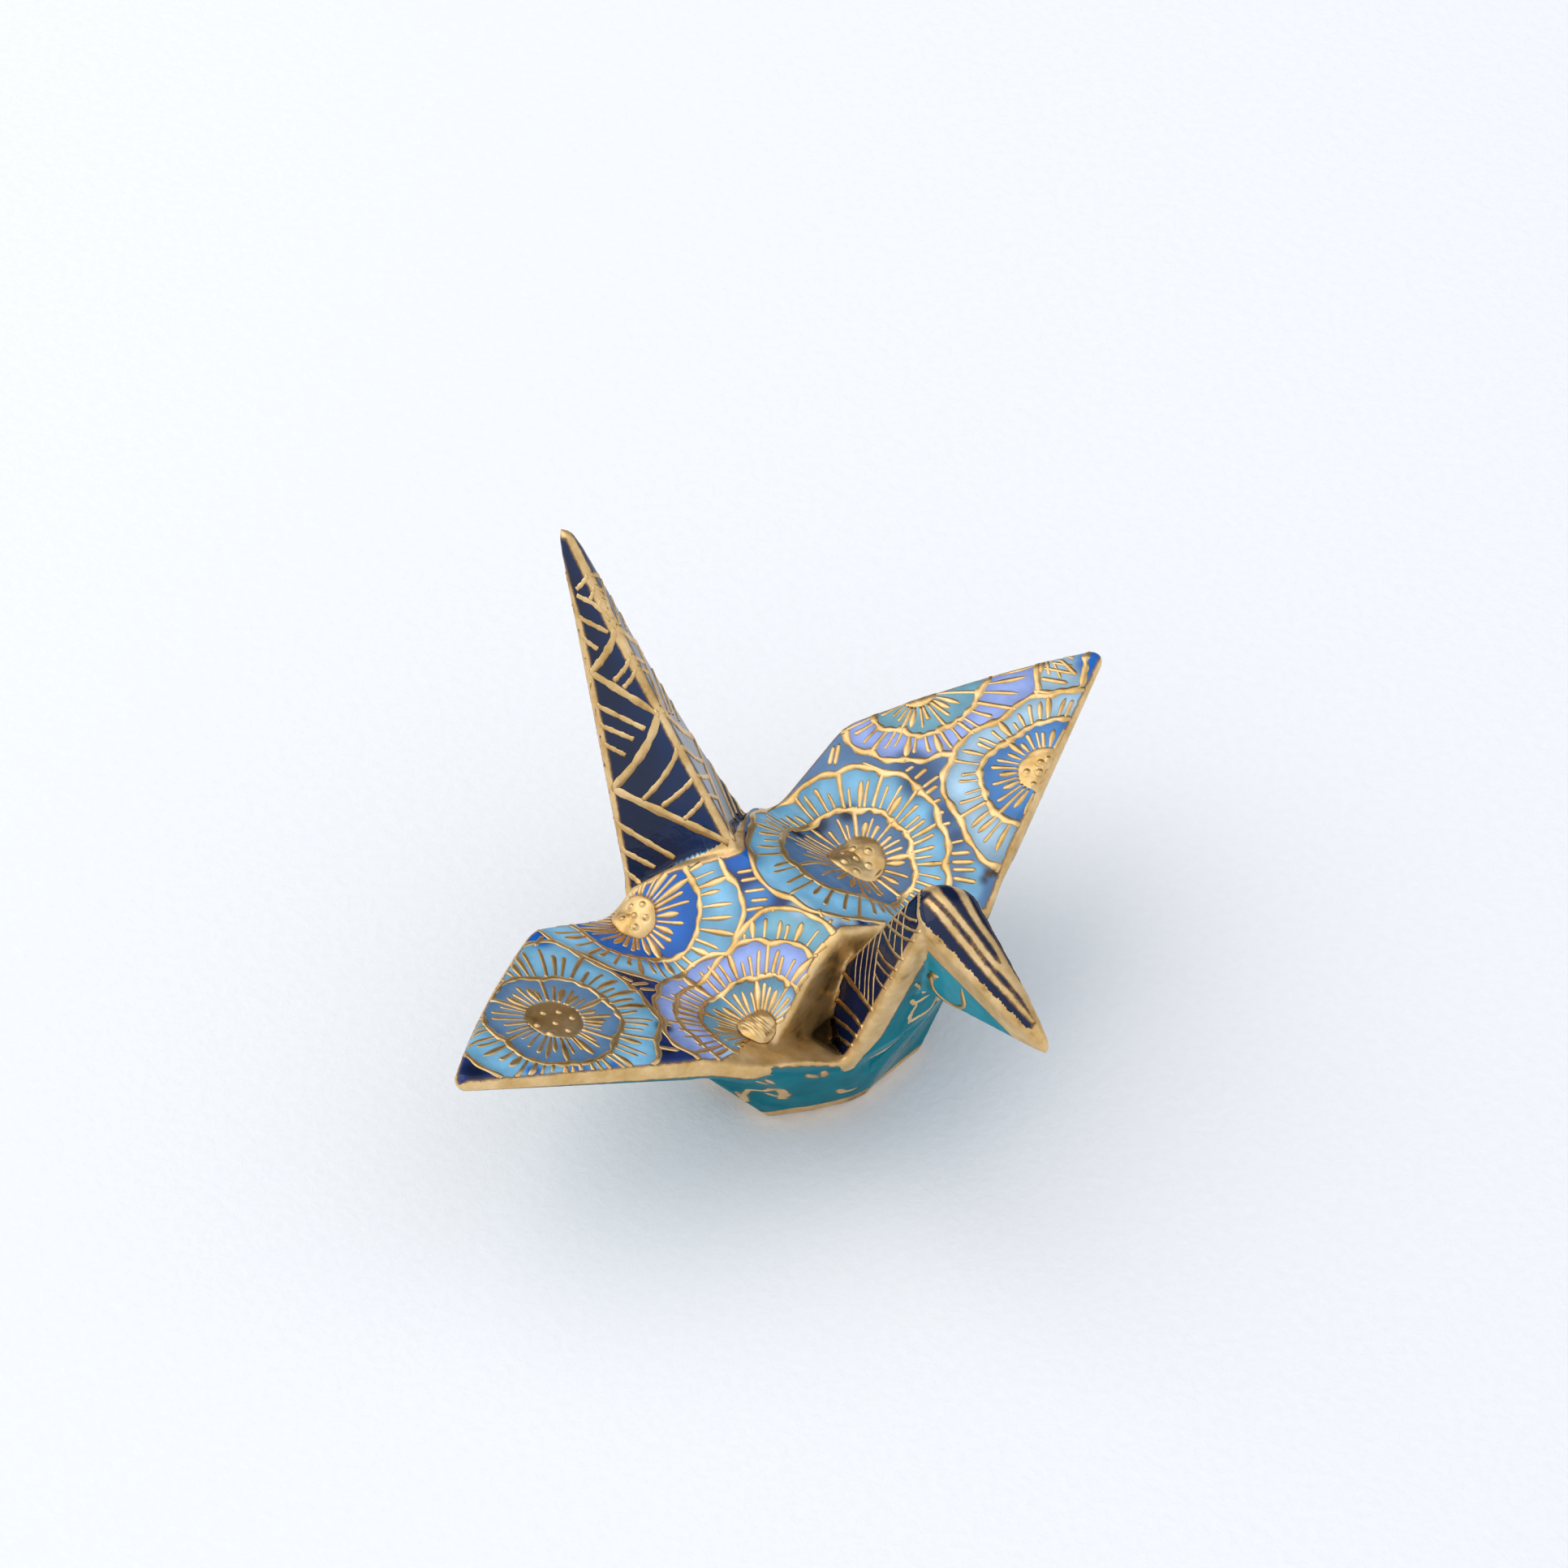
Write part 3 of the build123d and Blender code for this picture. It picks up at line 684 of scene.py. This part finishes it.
# The glaze mirrors less at a grazing angle, where its depth of colour shows. The tail, glazed more thickly,
# keeps more of its shine.
facing = add_node(tree, "LayerWeight", Blend=0.5)
gloss = add_node(tree, "MapRange", {"Value": facing.outputs["Facing"]}, From_Min=0.3, From_Max=0.72,
                 To_Min=0.32, To_Max=0.004)
axes = add_node(tree, "SeparateXYZ", {"Vector": place})
behind = add_node(tree, "MapRange", {"Value": axes.outputs["Y"]}, From_Min=0.002, From_Max=0.005)
on_high = add_node(tree, "MapRange", {"Value": axes.outputs["Z"]}, From_Min=0.021, From_Max=0.026)
tail_part = add_node(tree, "Math", {0: behind, 1: on_high}, operation="MULTIPLY")
tail_gloss = add_node(tree, "Math", {0: tail_part, 1: 0.4}, operation="MULTIPLY")
full_gloss = add_node(tree, "Math", {0: gloss, 1: tail_gloss}, operation="MAXIMUM")
feed(tree, shader, {
    "Base Color": skin_colour, "Metallic": metal, "Roughness": skin_rough, "Normal": lift,
    "Specular IOR Level": full_gloss,
})


def new_piece(name, part, material):
    """Smooth piece riding on the crane, from a part's points in millimetres and its groups of faces, without
    the points that no face uses."""
    points, *faces = part
    used, corners = np.unique(np.concatenate([f.ravel() for f in faces]), return_inverse=True)
    cuts = np.cumsum([f.size for f in faces])[:-1]
    rows = [part.reshape(-1, f.shape[1]).tolist() for part, f in zip(np.split(corners, cuts), faces)]
    mesh = bpy.data.meshes.new(name)
    mesh.from_pydata((points[used] / 1000).tolist(), [], sum(rows, []))
    mesh.shade_smooth()
    mesh.materials.append(material)
    piece = placed(name, mesh)
    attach(piece, "root")
    return piece, used


skin, used = new_piece("glazed_body", [skin_points, skin_faces], glaze)
skin.data.attributes.new("enamel", "FLOAT_COLOR", "POINT").data.foreach_set(
    "color", np.c_[colour, np.ones(count)][used].ravel().astype(np.float32)
)
# The gilding and the gold's painted shade go onto the skin's points
for name, values in (("gilding", gilding), ("painted_gold_shade", painted_gold_shade)):
    attribute = skin.data.attributes.new(name, "FLOAT", "POINT")
    attribute.data.foreach_set("value", values[used].astype(np.float32))
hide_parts("crane")


# Flower lines: gold drawn over the enamel with a fine brush, as raised outlines round each ring of petals
# and as short rays from its inner edge. They are fired on last, so that they stand a tenth of a millimetre
# proud.
line_across = np.array([-1.0, -0.8, 0.0, 0.8, 1.0])
line_relief = np.array([-0.06, 0.045, 0.07, 0.045, -0.06])
outline_half = 0.32
ray_half = 0.265
stroke_half = 0.25
draw = np.random.default_rng(7)


def sheet_point(s, y):
    """Point of the sheet's top and its normal, from the unfolded distance and y."""
    x = folded(s)
    slope = (sheet_height(x + 0.05) - sheet_height(x - 0.05)) / 0.1
    up = np.stack([-slope, 0 * x, 1 + 0 * x], -1)
    return np.stack([x, y, sheet_height(x)], -1), up / np.linalg.norm(up, axis=-1, keepdims=True)


def settled(points):
    """Points in millimetres moved to the nearest place on the glazed body."""
    mesh = bpy.data.meshes.new("settling")
    mesh.from_pydata((points.reshape(-1, 3) / 1000).tolist(), [], [])
    piece = placed("settling", mesh)
    wrap = piece.modifiers.new("wrap", "SHRINKWRAP")
    wrap.target = skin
    wrap.wrap_method = "NEAREST_SURFACEPOINT"
    evaluated = piece.evaluated_get(bpy.context.evaluated_depsgraph_get())
    found = np.empty(len(mesh.vertices) * 3)
    evaluated.data.vertices.foreach_get("co", found)
    bpy.data.objects.remove(piece)
    return found.reshape(points.shape) * 1000


def raised_lines(path, up, half, shown):
    """Raised lines along paths on the body. Five points lie across each path point, at right angles to its
    run, as far out as its half width. They settle on the body and are lifted by the line's relief, and the
    last joins the first underneath. Spans whose ends are both hidden are left out. Returns points, side
    faces and end faces."""
    run = np.gradient(path, axis=1)
    side = np.cross(up, run)
    side /= np.linalg.norm(side, axis=-1, keepdims=True) + 1e-9
    grid = path[:, :, None] + side[:, :, None] * (line_across * half[..., None])[..., None]
    grid = settled(grid)
    run = np.gradient(grid[:, :, 2], axis=1)
    lift = np.cross(run, side)
    lift /= np.linalg.norm(lift, axis=-1, keepdims=True) + 1e-9
    proud = np.clip(half / 0.2, 0.25, 1.3)
    grid = grid + lift[:, :, None] * (line_relief * proud[..., None])[..., None]
    lines, steps = half.shape
    index = np.arange(lines * steps * 5).reshape(lines, steps, 5)
    turn = np.roll(index, -1, 2)
    quads = np.stack([index[:, :-1], turn[:, :-1], turn[:, 1:], index[:, 1:]], -1)
    quads = quads[shown[:, :-1] | shown[:, 1:]].reshape(-1, 4)
    caps = np.r_[index[:, 0, ::-1][shown[:, 0]], index[:, -1][shown[:, -1]]]
    return grid.reshape(-1, 3), quads, caps


def joined(parts):
    """Several parts as one: all their points, and each of their groups of faces."""
    starts = np.cumsum([0] + [len(part[0]) for part in parts[:-1]])
    moved = [[part[0], *(faces + start for faces in part[1:])] for part, start in zip(parts, starts)]
    return [np.concatenate(group) for group in zip(*moved)]


def in_reach(name, s, y, margin):
    """Whether points lie inside a flower's outermost edge by a margin."""
    away, angle = flower_polar(name, s, y)
    reach = np.max([ring_radius(ring, angle) for ring in flowers[name][2]], axis=0)
    return away < reach - margin


def shows(name, s, y):
    """Whether a flower's line shows at points: on the enamel, and where no earlier flower lies over it."""
    seen = gold_on_sheet(s.ravel(), y.ravel()).reshape(s.shape) < 0.12
    for other in list(flowers)[: list(flowers).index(name)]:
        seen &= ~in_reach(other, s, y, 0.1)
    return seen


line_sets = []
for name, ((cs, cy), disc, rings) in flowers.items():
    for inner_ring, ring in zip([None, *rings], rings):
        hue, rays, lobe, pairs = ring

        # The ring's outline wanders a little and is thicker where two lobes meet
        angle = np.linspace(0, 360, 361)[None]
        turn = np.radians(angle)
        wander = 0.06 * np.sin(turn * 9 + cs) + 0.05 * np.sin(turn * 23 + cy)
        radius = ring_radius(ring, angle) + wander
        s, y = cs + radius * np.cos(turn), cy + radius * np.sin(turn)
        meets = np.abs(np.cos(turn * rays / lobe / 2)) ** 10
        half = 1 + 0.18 * np.sin(turn * 31 + cs) + 0.15 * np.sin(turn * 17 + cy)
        half = (half + 0.4 * meets) * outline_half * np.where(s > 3, 1.15, 0.95)
        line_sets.append(raised_lines(*sheet_point(s, y), half, shows(name, s, y)))

        # Its rays: those between two lobes run right across, the rest stop short. One in three swells as a
        # club, one as a drop, and one keeps even.
        number = np.arange(rays)
        divides = number % lobe == 0
        angle = 360 * (number + draw.uniform(-0.25, 0.25, rays) * ~divides) / rays
        share = np.where(divides, 1.0, draw.uniform(0.5, 0.82, rays))
        start = ring_radius(inner_ring, angle) if inner_ring else np.full(rays, disc * 0.96)
        end = ring_radius(ring, angle)
        along = 1 - (1 - np.linspace(0, 1, 13)[None]) ** 1.5
        radius = start[:, None] + (end - start)[:, None] * share[:, None] * along
        bend = np.radians(angle)[:, None] + draw.uniform(-0.03, 0.03, (rays, 1)) * along**2
        s, y = cs + radius * np.cos(bend), cy + radius * np.sin(bend)
        club = 0.62 + 0.5 * along**1.5
        drop = 0.5 + 0.85 * np.sin(np.pi * along**1.4)
        even = 0.85 + 0 * along
        swell = np.choose(draw.integers(0, 3, rays)[:, None], [club, drop, even])
        ends = np.sqrt(np.clip(1 - np.clip((along - 0.86) / 0.14, 0, 1) ** 2, 0.02, 1))
        half = ray_half * draw.uniform(0.7, 1.15, (rays, 1)) * swell * np.where(divides[:, None], 1.15, ends)
        real = (end - start > 0.8)[:, None]
        line_sets.append(raised_lines(*sheet_point(s, y), half, shows(name, s, y) & real))

# Strokes between the flowers, where only the ends of other petals show, each with distance and y of both ends
strokes = [
    (22.6, 4.1, 23.6, 3.9), (22.5, 2.8, 24.2, 2.7), (22.3, 1.5, 24.4, 1.2), (22.0, 0.8, 23.5, 0.5),
    (21.7, -0.4, 22.6, -0.8), (21.1, -1.5, 21.8, -2.0), (20.6, -2.7, 21.3, -3.3),
    (19.7, -4.7, 20.7, -5.6), (18.9, -5.4, 20.2, -7.0), (18.3, -6.0, 19.7, -8.0),
    (17.8, -6.6, 19.2, -8.7), (17.2, -7.2, 18.3, -9.6), (18.7, 11.0, 20.5, 12.0),
    (19.0, 10.5, 21.0, 11.7), (20.8, 8.5, 21.6, 5.0), (-2.0, 4.5, -0.8, 3.4), (-2.4, 3.6, -1.1, 2.4),
    (-3.0, 2.5, -1.5, 1.0), (-3.3, 1.3, -2.1, 0.0), (-4.3, 1.0, -2.9, -0.3), (-2.2, -1.0, -2.9, -1.3),
    (0.2, -4.5, -0.4, -5.7), (0.1, -6.3, -0.4, -6.6), (1.1, -6.7, 1.6, -7.3), (-19.8, 3.6, -19.3, 2.5),
    (-19.8, 2.2, -17.6, 2.0), (-19.5, 1.4, -17.8, 0.9), (-21.5, -2.5, -20.3, -1.9),
    (-22.3, -4.0, -21.0, -4.6), (-24.7, 10.5, -23.0, 11.3), (-25.0, -6.5, -23.5, -8.0),
    (38.3, 1.4, 39.6, -1.2), (39.3, 2.1, 40.8, -1.0), (40.3, 1.9, 41.3, -0.2),
]
begin, finish = np.array(strokes, float).reshape(-1, 2, 2).transpose(1, 2, 0)
along = np.linspace(0, 1, 9)[:, None]
s, y = (begin[k] + (finish[k] - begin[k]) * along for k in range(2))
ends = np.sqrt(np.clip(1 - (2 * along.T - 1) ** 8, 0.02, 1))
half = stroke_half * draw.uniform(0.8, 1.2, (len(strokes), 1)) * ends
line_sets.append(raised_lines(*sheet_point(s.T, y.T), half, np.ones(half.shape, bool)))

gold_line, tree, shader = new_material("raised gold line")
gold = add_node(tree, "Group", node_tree=fired_gold)
bump = add_node(tree, "Bump", {"Height": gold.outputs["Height"]}, Strength=0.35, Distance=0.00004)
feed(tree, shader, {
    "Base Color": gold, "Metallic": 1.0, "Roughness": gold.outputs["Roughness"], "Normal": bump,
})

flower_lines, used = new_piece("flower_lines", joined(line_sets), gold_line)


# Seed discs: the gold centre of each flower but the last, whose own lies off the sheet. Each is a low pad of
# gold fired onto the glaze, thicker than the lines, with small raised dots for seeds, and the one beside the
# hollow is heaped up into a knob.
disc_dots = {
    "b": [(13.2, 2.7), (14.0, 1.2), (12.1, 2.9), (12.4, 1.4), (12.9, 0.1), (11.0, 1.7), (11.2, 0.1)],
    "d": [(29.8, -5.2), (31.4, -5.5), (29.2, -6.75), (30.6, -6.2), (32.2, -5.85), (31.4, -7.2),
          (30.1, -7.8)],
    "g": [(-31.0, 0.7), (-31.0, 2.4), (-29.6, 1.8), (-29.1, 0.5), (-30.7, -0.7), (-32.5, -0.2),
          (-32.7, 1.3)],
    "a": [(-9.9, 10.2), (-10.7, 9.1), (-10.8, 11.1), (-11.3, 10.1), (-12.3, 10.9), (-12.1, 9.2)],
    "f": [],
    "c": [],
}
disc_rings, disc_turns = 30, 96
domed, rim_soft_turns = "ab", 14
knob, knob_turns = "f", 60


def seed_disc(name, dots):
    """Disc on the sheet: a polar grid whose relief is level and a little uneven in the middle and falls
    below the surface at its rim, with a small dome at each dot. Over a fold the disc is stretched as spokes
    from its rim's mean and domed, and the knob's grid is relaxed towards its neighbours. Closed by a face
    below."""
    (cs, cy), radius, rings = flowers[name]
    share = np.linspace(0, 1, disc_rings + 1)[:, None]
    angle = np.linspace(0, 2 * np.pi, disc_turns, endpoint=False)[None]
    edge = radius * (1 + 0.03 * np.sin(3 * angle + cs) + 0.02 * np.sin(7 * angle + cy))
    s, y = cs + share * edge * np.cos(angle), cy + share * edge * np.sin(angle)
    relief = 0.09 * (1 - share**6) + 0.03 - 0.1 * share**24 + 0.008 * np.sin(s * 5) * np.sin(y * 6)
    if name == knob:
        relief = 0.95 * np.sqrt(1 - 0.96 * share**2) - 0.15 + 0.025 * np.sin(s * 4.1) * np.sin(y * 3.7)
    for ds, dy in dots:
        gap = np.hypot(s - ds, y - dy)
        relief = relief + 0.13 * np.exp(-((gap / 0.27) ** 4)) - 0.03 * np.exp(-(((gap - 0.4) / 0.1) ** 2))
    points, up = sheet_point(s, y)
    points = settled(points)
    for turn in range(knob_turns if name == knob else 0):
        around = np.roll(points, 1, 1) + np.roll(points, -1, 1)
        points[1:-1] = (points[:-2] + points[2:] + around[1:-1]) / 4
    if name in domed:
        rim = soft = points[-1]
        for turn in range(rim_soft_turns):
            soft = (np.roll(soft, 1, 0) + soft + np.roll(soft, -1, 0)) / 3
        spoke = share[..., None]
        points = rim.mean(0) + spoke * (soft + (rim - soft) * spoke**3 - rim.mean(0))
        up = up[-1].mean(0) / np.linalg.norm(up[-1].mean(0)) + 0 * up
        relief = relief + 0.3 * (1 - share**2)
    points = points + up * relief[..., None]
    points = np.r_[points[0, :1], points[1:].reshape(-1, 3)]
    index = 1 + np.arange(disc_rings * disc_turns).reshape(disc_rings, disc_turns)
    turned = np.roll(index, -1, 1)
    quads = np.stack([index[:-1], index[1:], turned[1:], turned[:-1]], -1).reshape(-1, 4)
    fans = np.stack([0 * index[0], index[0], turned[0]], -1)
    return points, quads, fans, index[-1][None, ::-1]


discs = [seed_disc(name, dots) for name, dots in disc_dots.items()]
seed_discs, used = new_piece("seed_discs", joined(discs), gold_line)


# Hatching on tail and neck: gold bars drawn across the navy faces, in groups that lean to and fro between
# the gold edges, as on woven cloth.
flip = np.array((-1, 1, 1))
tail_corners = [[tail_root * flip, tail_ridge_root], [tail_tip * flip, tail_ridge_tip]]
back_corners = [[tail_root * flip, tail_root], [tail_tip * flip, tail_tip]]
neck_corners = [[neck_root * flip, neck_ridge_root], [neck_top * flip, neck_ridge_top]]

# Each bar has its half width and its run, as shares of the way from side to ridge and from root to top
tail_bars = [
    (0.26, [(0.37, 0.86), (0.92, 0.90)]),
    (0.22, [(0.95, 0.872), (0.614, 0.835)]),
    (0.2, [(0.95, 0.84), (0.727, 0.815)]),
    (0.17, [(0.95, 0.815), (0.8, 0.804)]),
    (0.27, [(0.32, 0.844), (0.667, 0.826), (0.92, 0.788)]),
    (0.27, [(0.2, 0.785), (0.70, 0.753)]),
    (0.26, [(0.15, 0.73), (0.385, 0.702)]),
    ([0.3, 0.42, 0.42, 0.36], [(0.92, 0.77), (0.65, 0.722), (0.4, 0.677), (0.15, 0.632)]),
    ([0.36, 0.42, 0.42, 0.36], [(0.12, 0.638), (0.4, 0.608), (0.65, 0.578), (0.9, 0.549)]),
    (0.28, [(0.925, 0.697), (0.459, 0.621)]),
    (0.26, [(0.92, 0.667), (0.559, 0.607)]),
    (0.29, [(0.12, 0.545), (0.4, 0.522), (0.62, 0.503)]),
    (0.28, [(0.1, 0.491), (0.442, 0.468)]),
    (0.26, [(0.1, 0.439), (0.3, 0.419)]),
    ([0.4, 0.46, 0.46, 0.42], [(0.92, 0.566), (0.65, 0.485), (0.38, 0.404), (0.08, 0.313)]),
    ([0.4, 0.46, 0.46, 0.42], [(0.07, 0.319), (0.38, 0.288), (0.65, 0.261), (0.93, 0.234)]),
    (0.3, [(0.92, 0.47), (0.6, 0.378), (0.337, 0.303)]),
    (0.28, [(0.92, 0.395), (0.486, 0.296)]),
    (0.27, [(0.92, 0.345), (0.635, 0.272)]),
    (0.32, [(0.04, 0.226), (0.44, 0.158)]),
    (0.3, [(0.04, 0.153), (0.28, 0.119)]),
    (0.28, [(0.04, 0.097), (0.16, 0.065)]),
]
neck_bars = [
    (0.3, [(0.1, 0.22), (0.3, 0.18), (0.5, 0.12), (0.72, 0.05)]),
    (0.26, [(0.1, 0.15), (0.3, 0.09), (0.45, 0.03), (0.6, -0.04)]),
    (0.24, [(0.1, 0.08), (0.3, 0.0), (0.45, -0.08)]),
    (0.3, [(0.1, 0.355), (0.4, 0.29), (0.7, 0.22), (0.97, 0.16)]),
    (0.2, [(0.12, 0.36), (0.4, 0.43), (0.65, 0.51), (0.97, 0.63)]),
    (0.16, [(0.25, 0.33), (0.5, 0.39), (0.7, 0.46), (0.97, 0.56)]),
    (0.14, [(0.35, 0.305), (0.6, 0.37), (0.97, 0.49)]),
    (0.14, [(0.5, 0.275), (0.7, 0.33), (0.97, 0.43)]),
    (0.14, [(0.62, 0.25), (0.8, 0.30), (0.97, 0.365)]),
    (0.16, [(0.1, 0.52), (0.3, 0.475), (0.5, 0.45)]),
    (0.16, [(0.1, 0.60), (0.35, 0.54), (0.6, 0.49)]),
    (0.2, [(0.1, 0.66), (0.4, 0.58), (0.7, 0.53)]),
    (0.2, [(0.1, 0.74), (0.4, 0.67), (0.7, 0.63), (0.97, 0.61)]),
    (0.18, [(0.1, 0.73), (0.4, 0.77), (0.7, 0.82), (0.97, 0.89)]),
    (0.16, [(0.4, 0.67), (0.7, 0.74), (0.97, 0.81)]),
    (0.16, [(0.6, 0.64), (0.8, 0.69), (0.97, 0.74)]),
    (0.18, [(0.1, 0.88), (0.4, 0.79), (0.7, 0.71), (0.97, 0.65)]),
    (0.18, [(0.1, 0.95), (0.4, 0.86), (0.7, 0.78), (0.97, 0.71)]),
    (0.16, [(0.35, 0.95), (0.6, 0.87), (0.97, 0.78)]),
]


def patch_point(corners, u, v):
    """Point of a face between its low and high edges at shares u and v, and the face's normal there."""
    low, high = np.array(corners, float)
    u, v = u[..., None], v[..., None]
    point = (low[0] * (1 - u) + low[1] * u) * (1 - v) + (high[0] * (1 - u) + high[1] * u) * v
    across = (low[1] - low[0]) * (1 - v) + (high[1] - high[0]) * v
    rise = (high[0] - low[0]) * (1 - u) + (high[1] - low[1]) * u
    up = np.cross(across, rise)
    return point, up / np.linalg.norm(up, axis=-1, keepdims=True)


def drawn_line(corners, half, spots, steps=20, blunt=0.0):
    """Raised line on a face through spots given as shares, even in length, thin at its ends unless blunt."""
    spots = np.array(spots, float)
    share = np.linspace(0, 1, len(spots))
    at = np.linspace(0, 1, steps)
    u, v = (np.interp(at, share, column) for column in spots.T)
    soft = np.r_[0.25, 0.5, 0.25]
    for turn in range(2):
        u[1:-1], v[1:-1] = np.convolve(u, soft, "valid"), np.convolve(v, soft, "valid")
    wave = 1 + 0.12 * np.sin(at * 19 + spots[0, 1] * 40) + 0.1 * np.sin(at * 41 + spots[0, 0] * 50)
    end = np.sqrt(np.clip(1 - np.abs(2 * at - 1) ** 8, blunt**2 + 0.002, 1))
    half = np.interp(at, np.linspace(0, 1, np.size(half)), np.atleast_1d(half)) * wave * end
    return raised_lines(*patch_point(corners, u[None], v[None]), half[None], np.ones((1, steps), bool))


def mirrored(part):
    """Line set on the other side of the crane, with its faces turned to point outwards."""
    points, quads, caps = part
    return points * flip, quads[:, ::-1], caps[:, ::-1]


# The tail's back has a ladder of shallow chevrons
back_bars = [
    (0.26, [(0.09, v), (0.3, v + 0.02), (0.5, v + 0.03), (0.7, v + 0.02), (0.91, v)])
    for v in np.r_[0.08:0.86:12j]
]
for name, corners, bars, fine in (
    ("tail_hatching", tail_corners, tail_bars, 1.0), ("neck_hatching", neck_corners, neck_bars, 0.82),
):
    side = joined([drawn_line(corners, np.multiply(half, fine), spots, blunt=1.0) for half, spots in bars])
    sides = [side, mirrored(side)]
    if corners is tail_corners:
        sides += [drawn_line(back_corners, half, spots, 40, blunt=1.0) for half, spots in back_bars]
    hatching, used = new_piece(name, joined(sides), gold_line)


# Scrolls: loose curls, leaves and drops of gold on the teal cheeks and throat, drawn on last with a fine
# brush and fired as the flower lines are.
cheek_corners = [[beak_side * flip, beak_keel], [neck_top * flip, chin]]
throat_corners = [[neck_root * flip, neck_root], [neck_top * flip, neck_top]]
cheek_curls = [
    ([0.2, 0.5, 0.35, 0.28, 0.25, 0.25, 0.3, 0.3], [
        (0.55, 0.84), (0.6, 0.89), (0.72, 0.905), (0.84, 0.87), (0.92, 0.78), (0.92, 0.68), (0.78, 0.625),
        (0.42, 0.67),
    ]),
]
throat_curls = [
    ([0.1, 0.6, 0.5, 0.25, 0.18, 0.15], [
        (0.62, 0.43), (0.67, 0.37), (0.75, 0.28), (0.84, 0.17), (0.95, 0.05), (1.05, -0.06),
    ]),
    ([0.3, 0.25, 0.25, 0.1], [(0.43, 0.34), (0.5, 0.28), (0.62, 0.25), (0.74, 0.22)]),
    ([0.25, 0.3, 0.25], [(0.55, 0.25), (0.52, 0.17), (0.57, 0.07)]),
    ([0.3, 0.25, 0.22, 0.25], [(0.56, 0.09), (0.7, 0.05), (0.85, 0.015), (1.0, 0.01)]),
    ([0.3, 0.3, 0.1], [(0.38, 0.49), (0.47, 0.45), (0.58, 0.39)]),
    ([0.2, 0.35, 0.1], [(0.55, 0.35), (0.61, 0.33), (0.69, 0.30)]),
]
drawn = [
    drawn_line(corners, half, spots, 28)
    for corners, curls in ((cheek_corners, cheek_curls), (throat_corners, throat_curls))
    for half, spots in curls
]
scrolls, used = new_piece("scrolls", joined(drawn), gold_line)
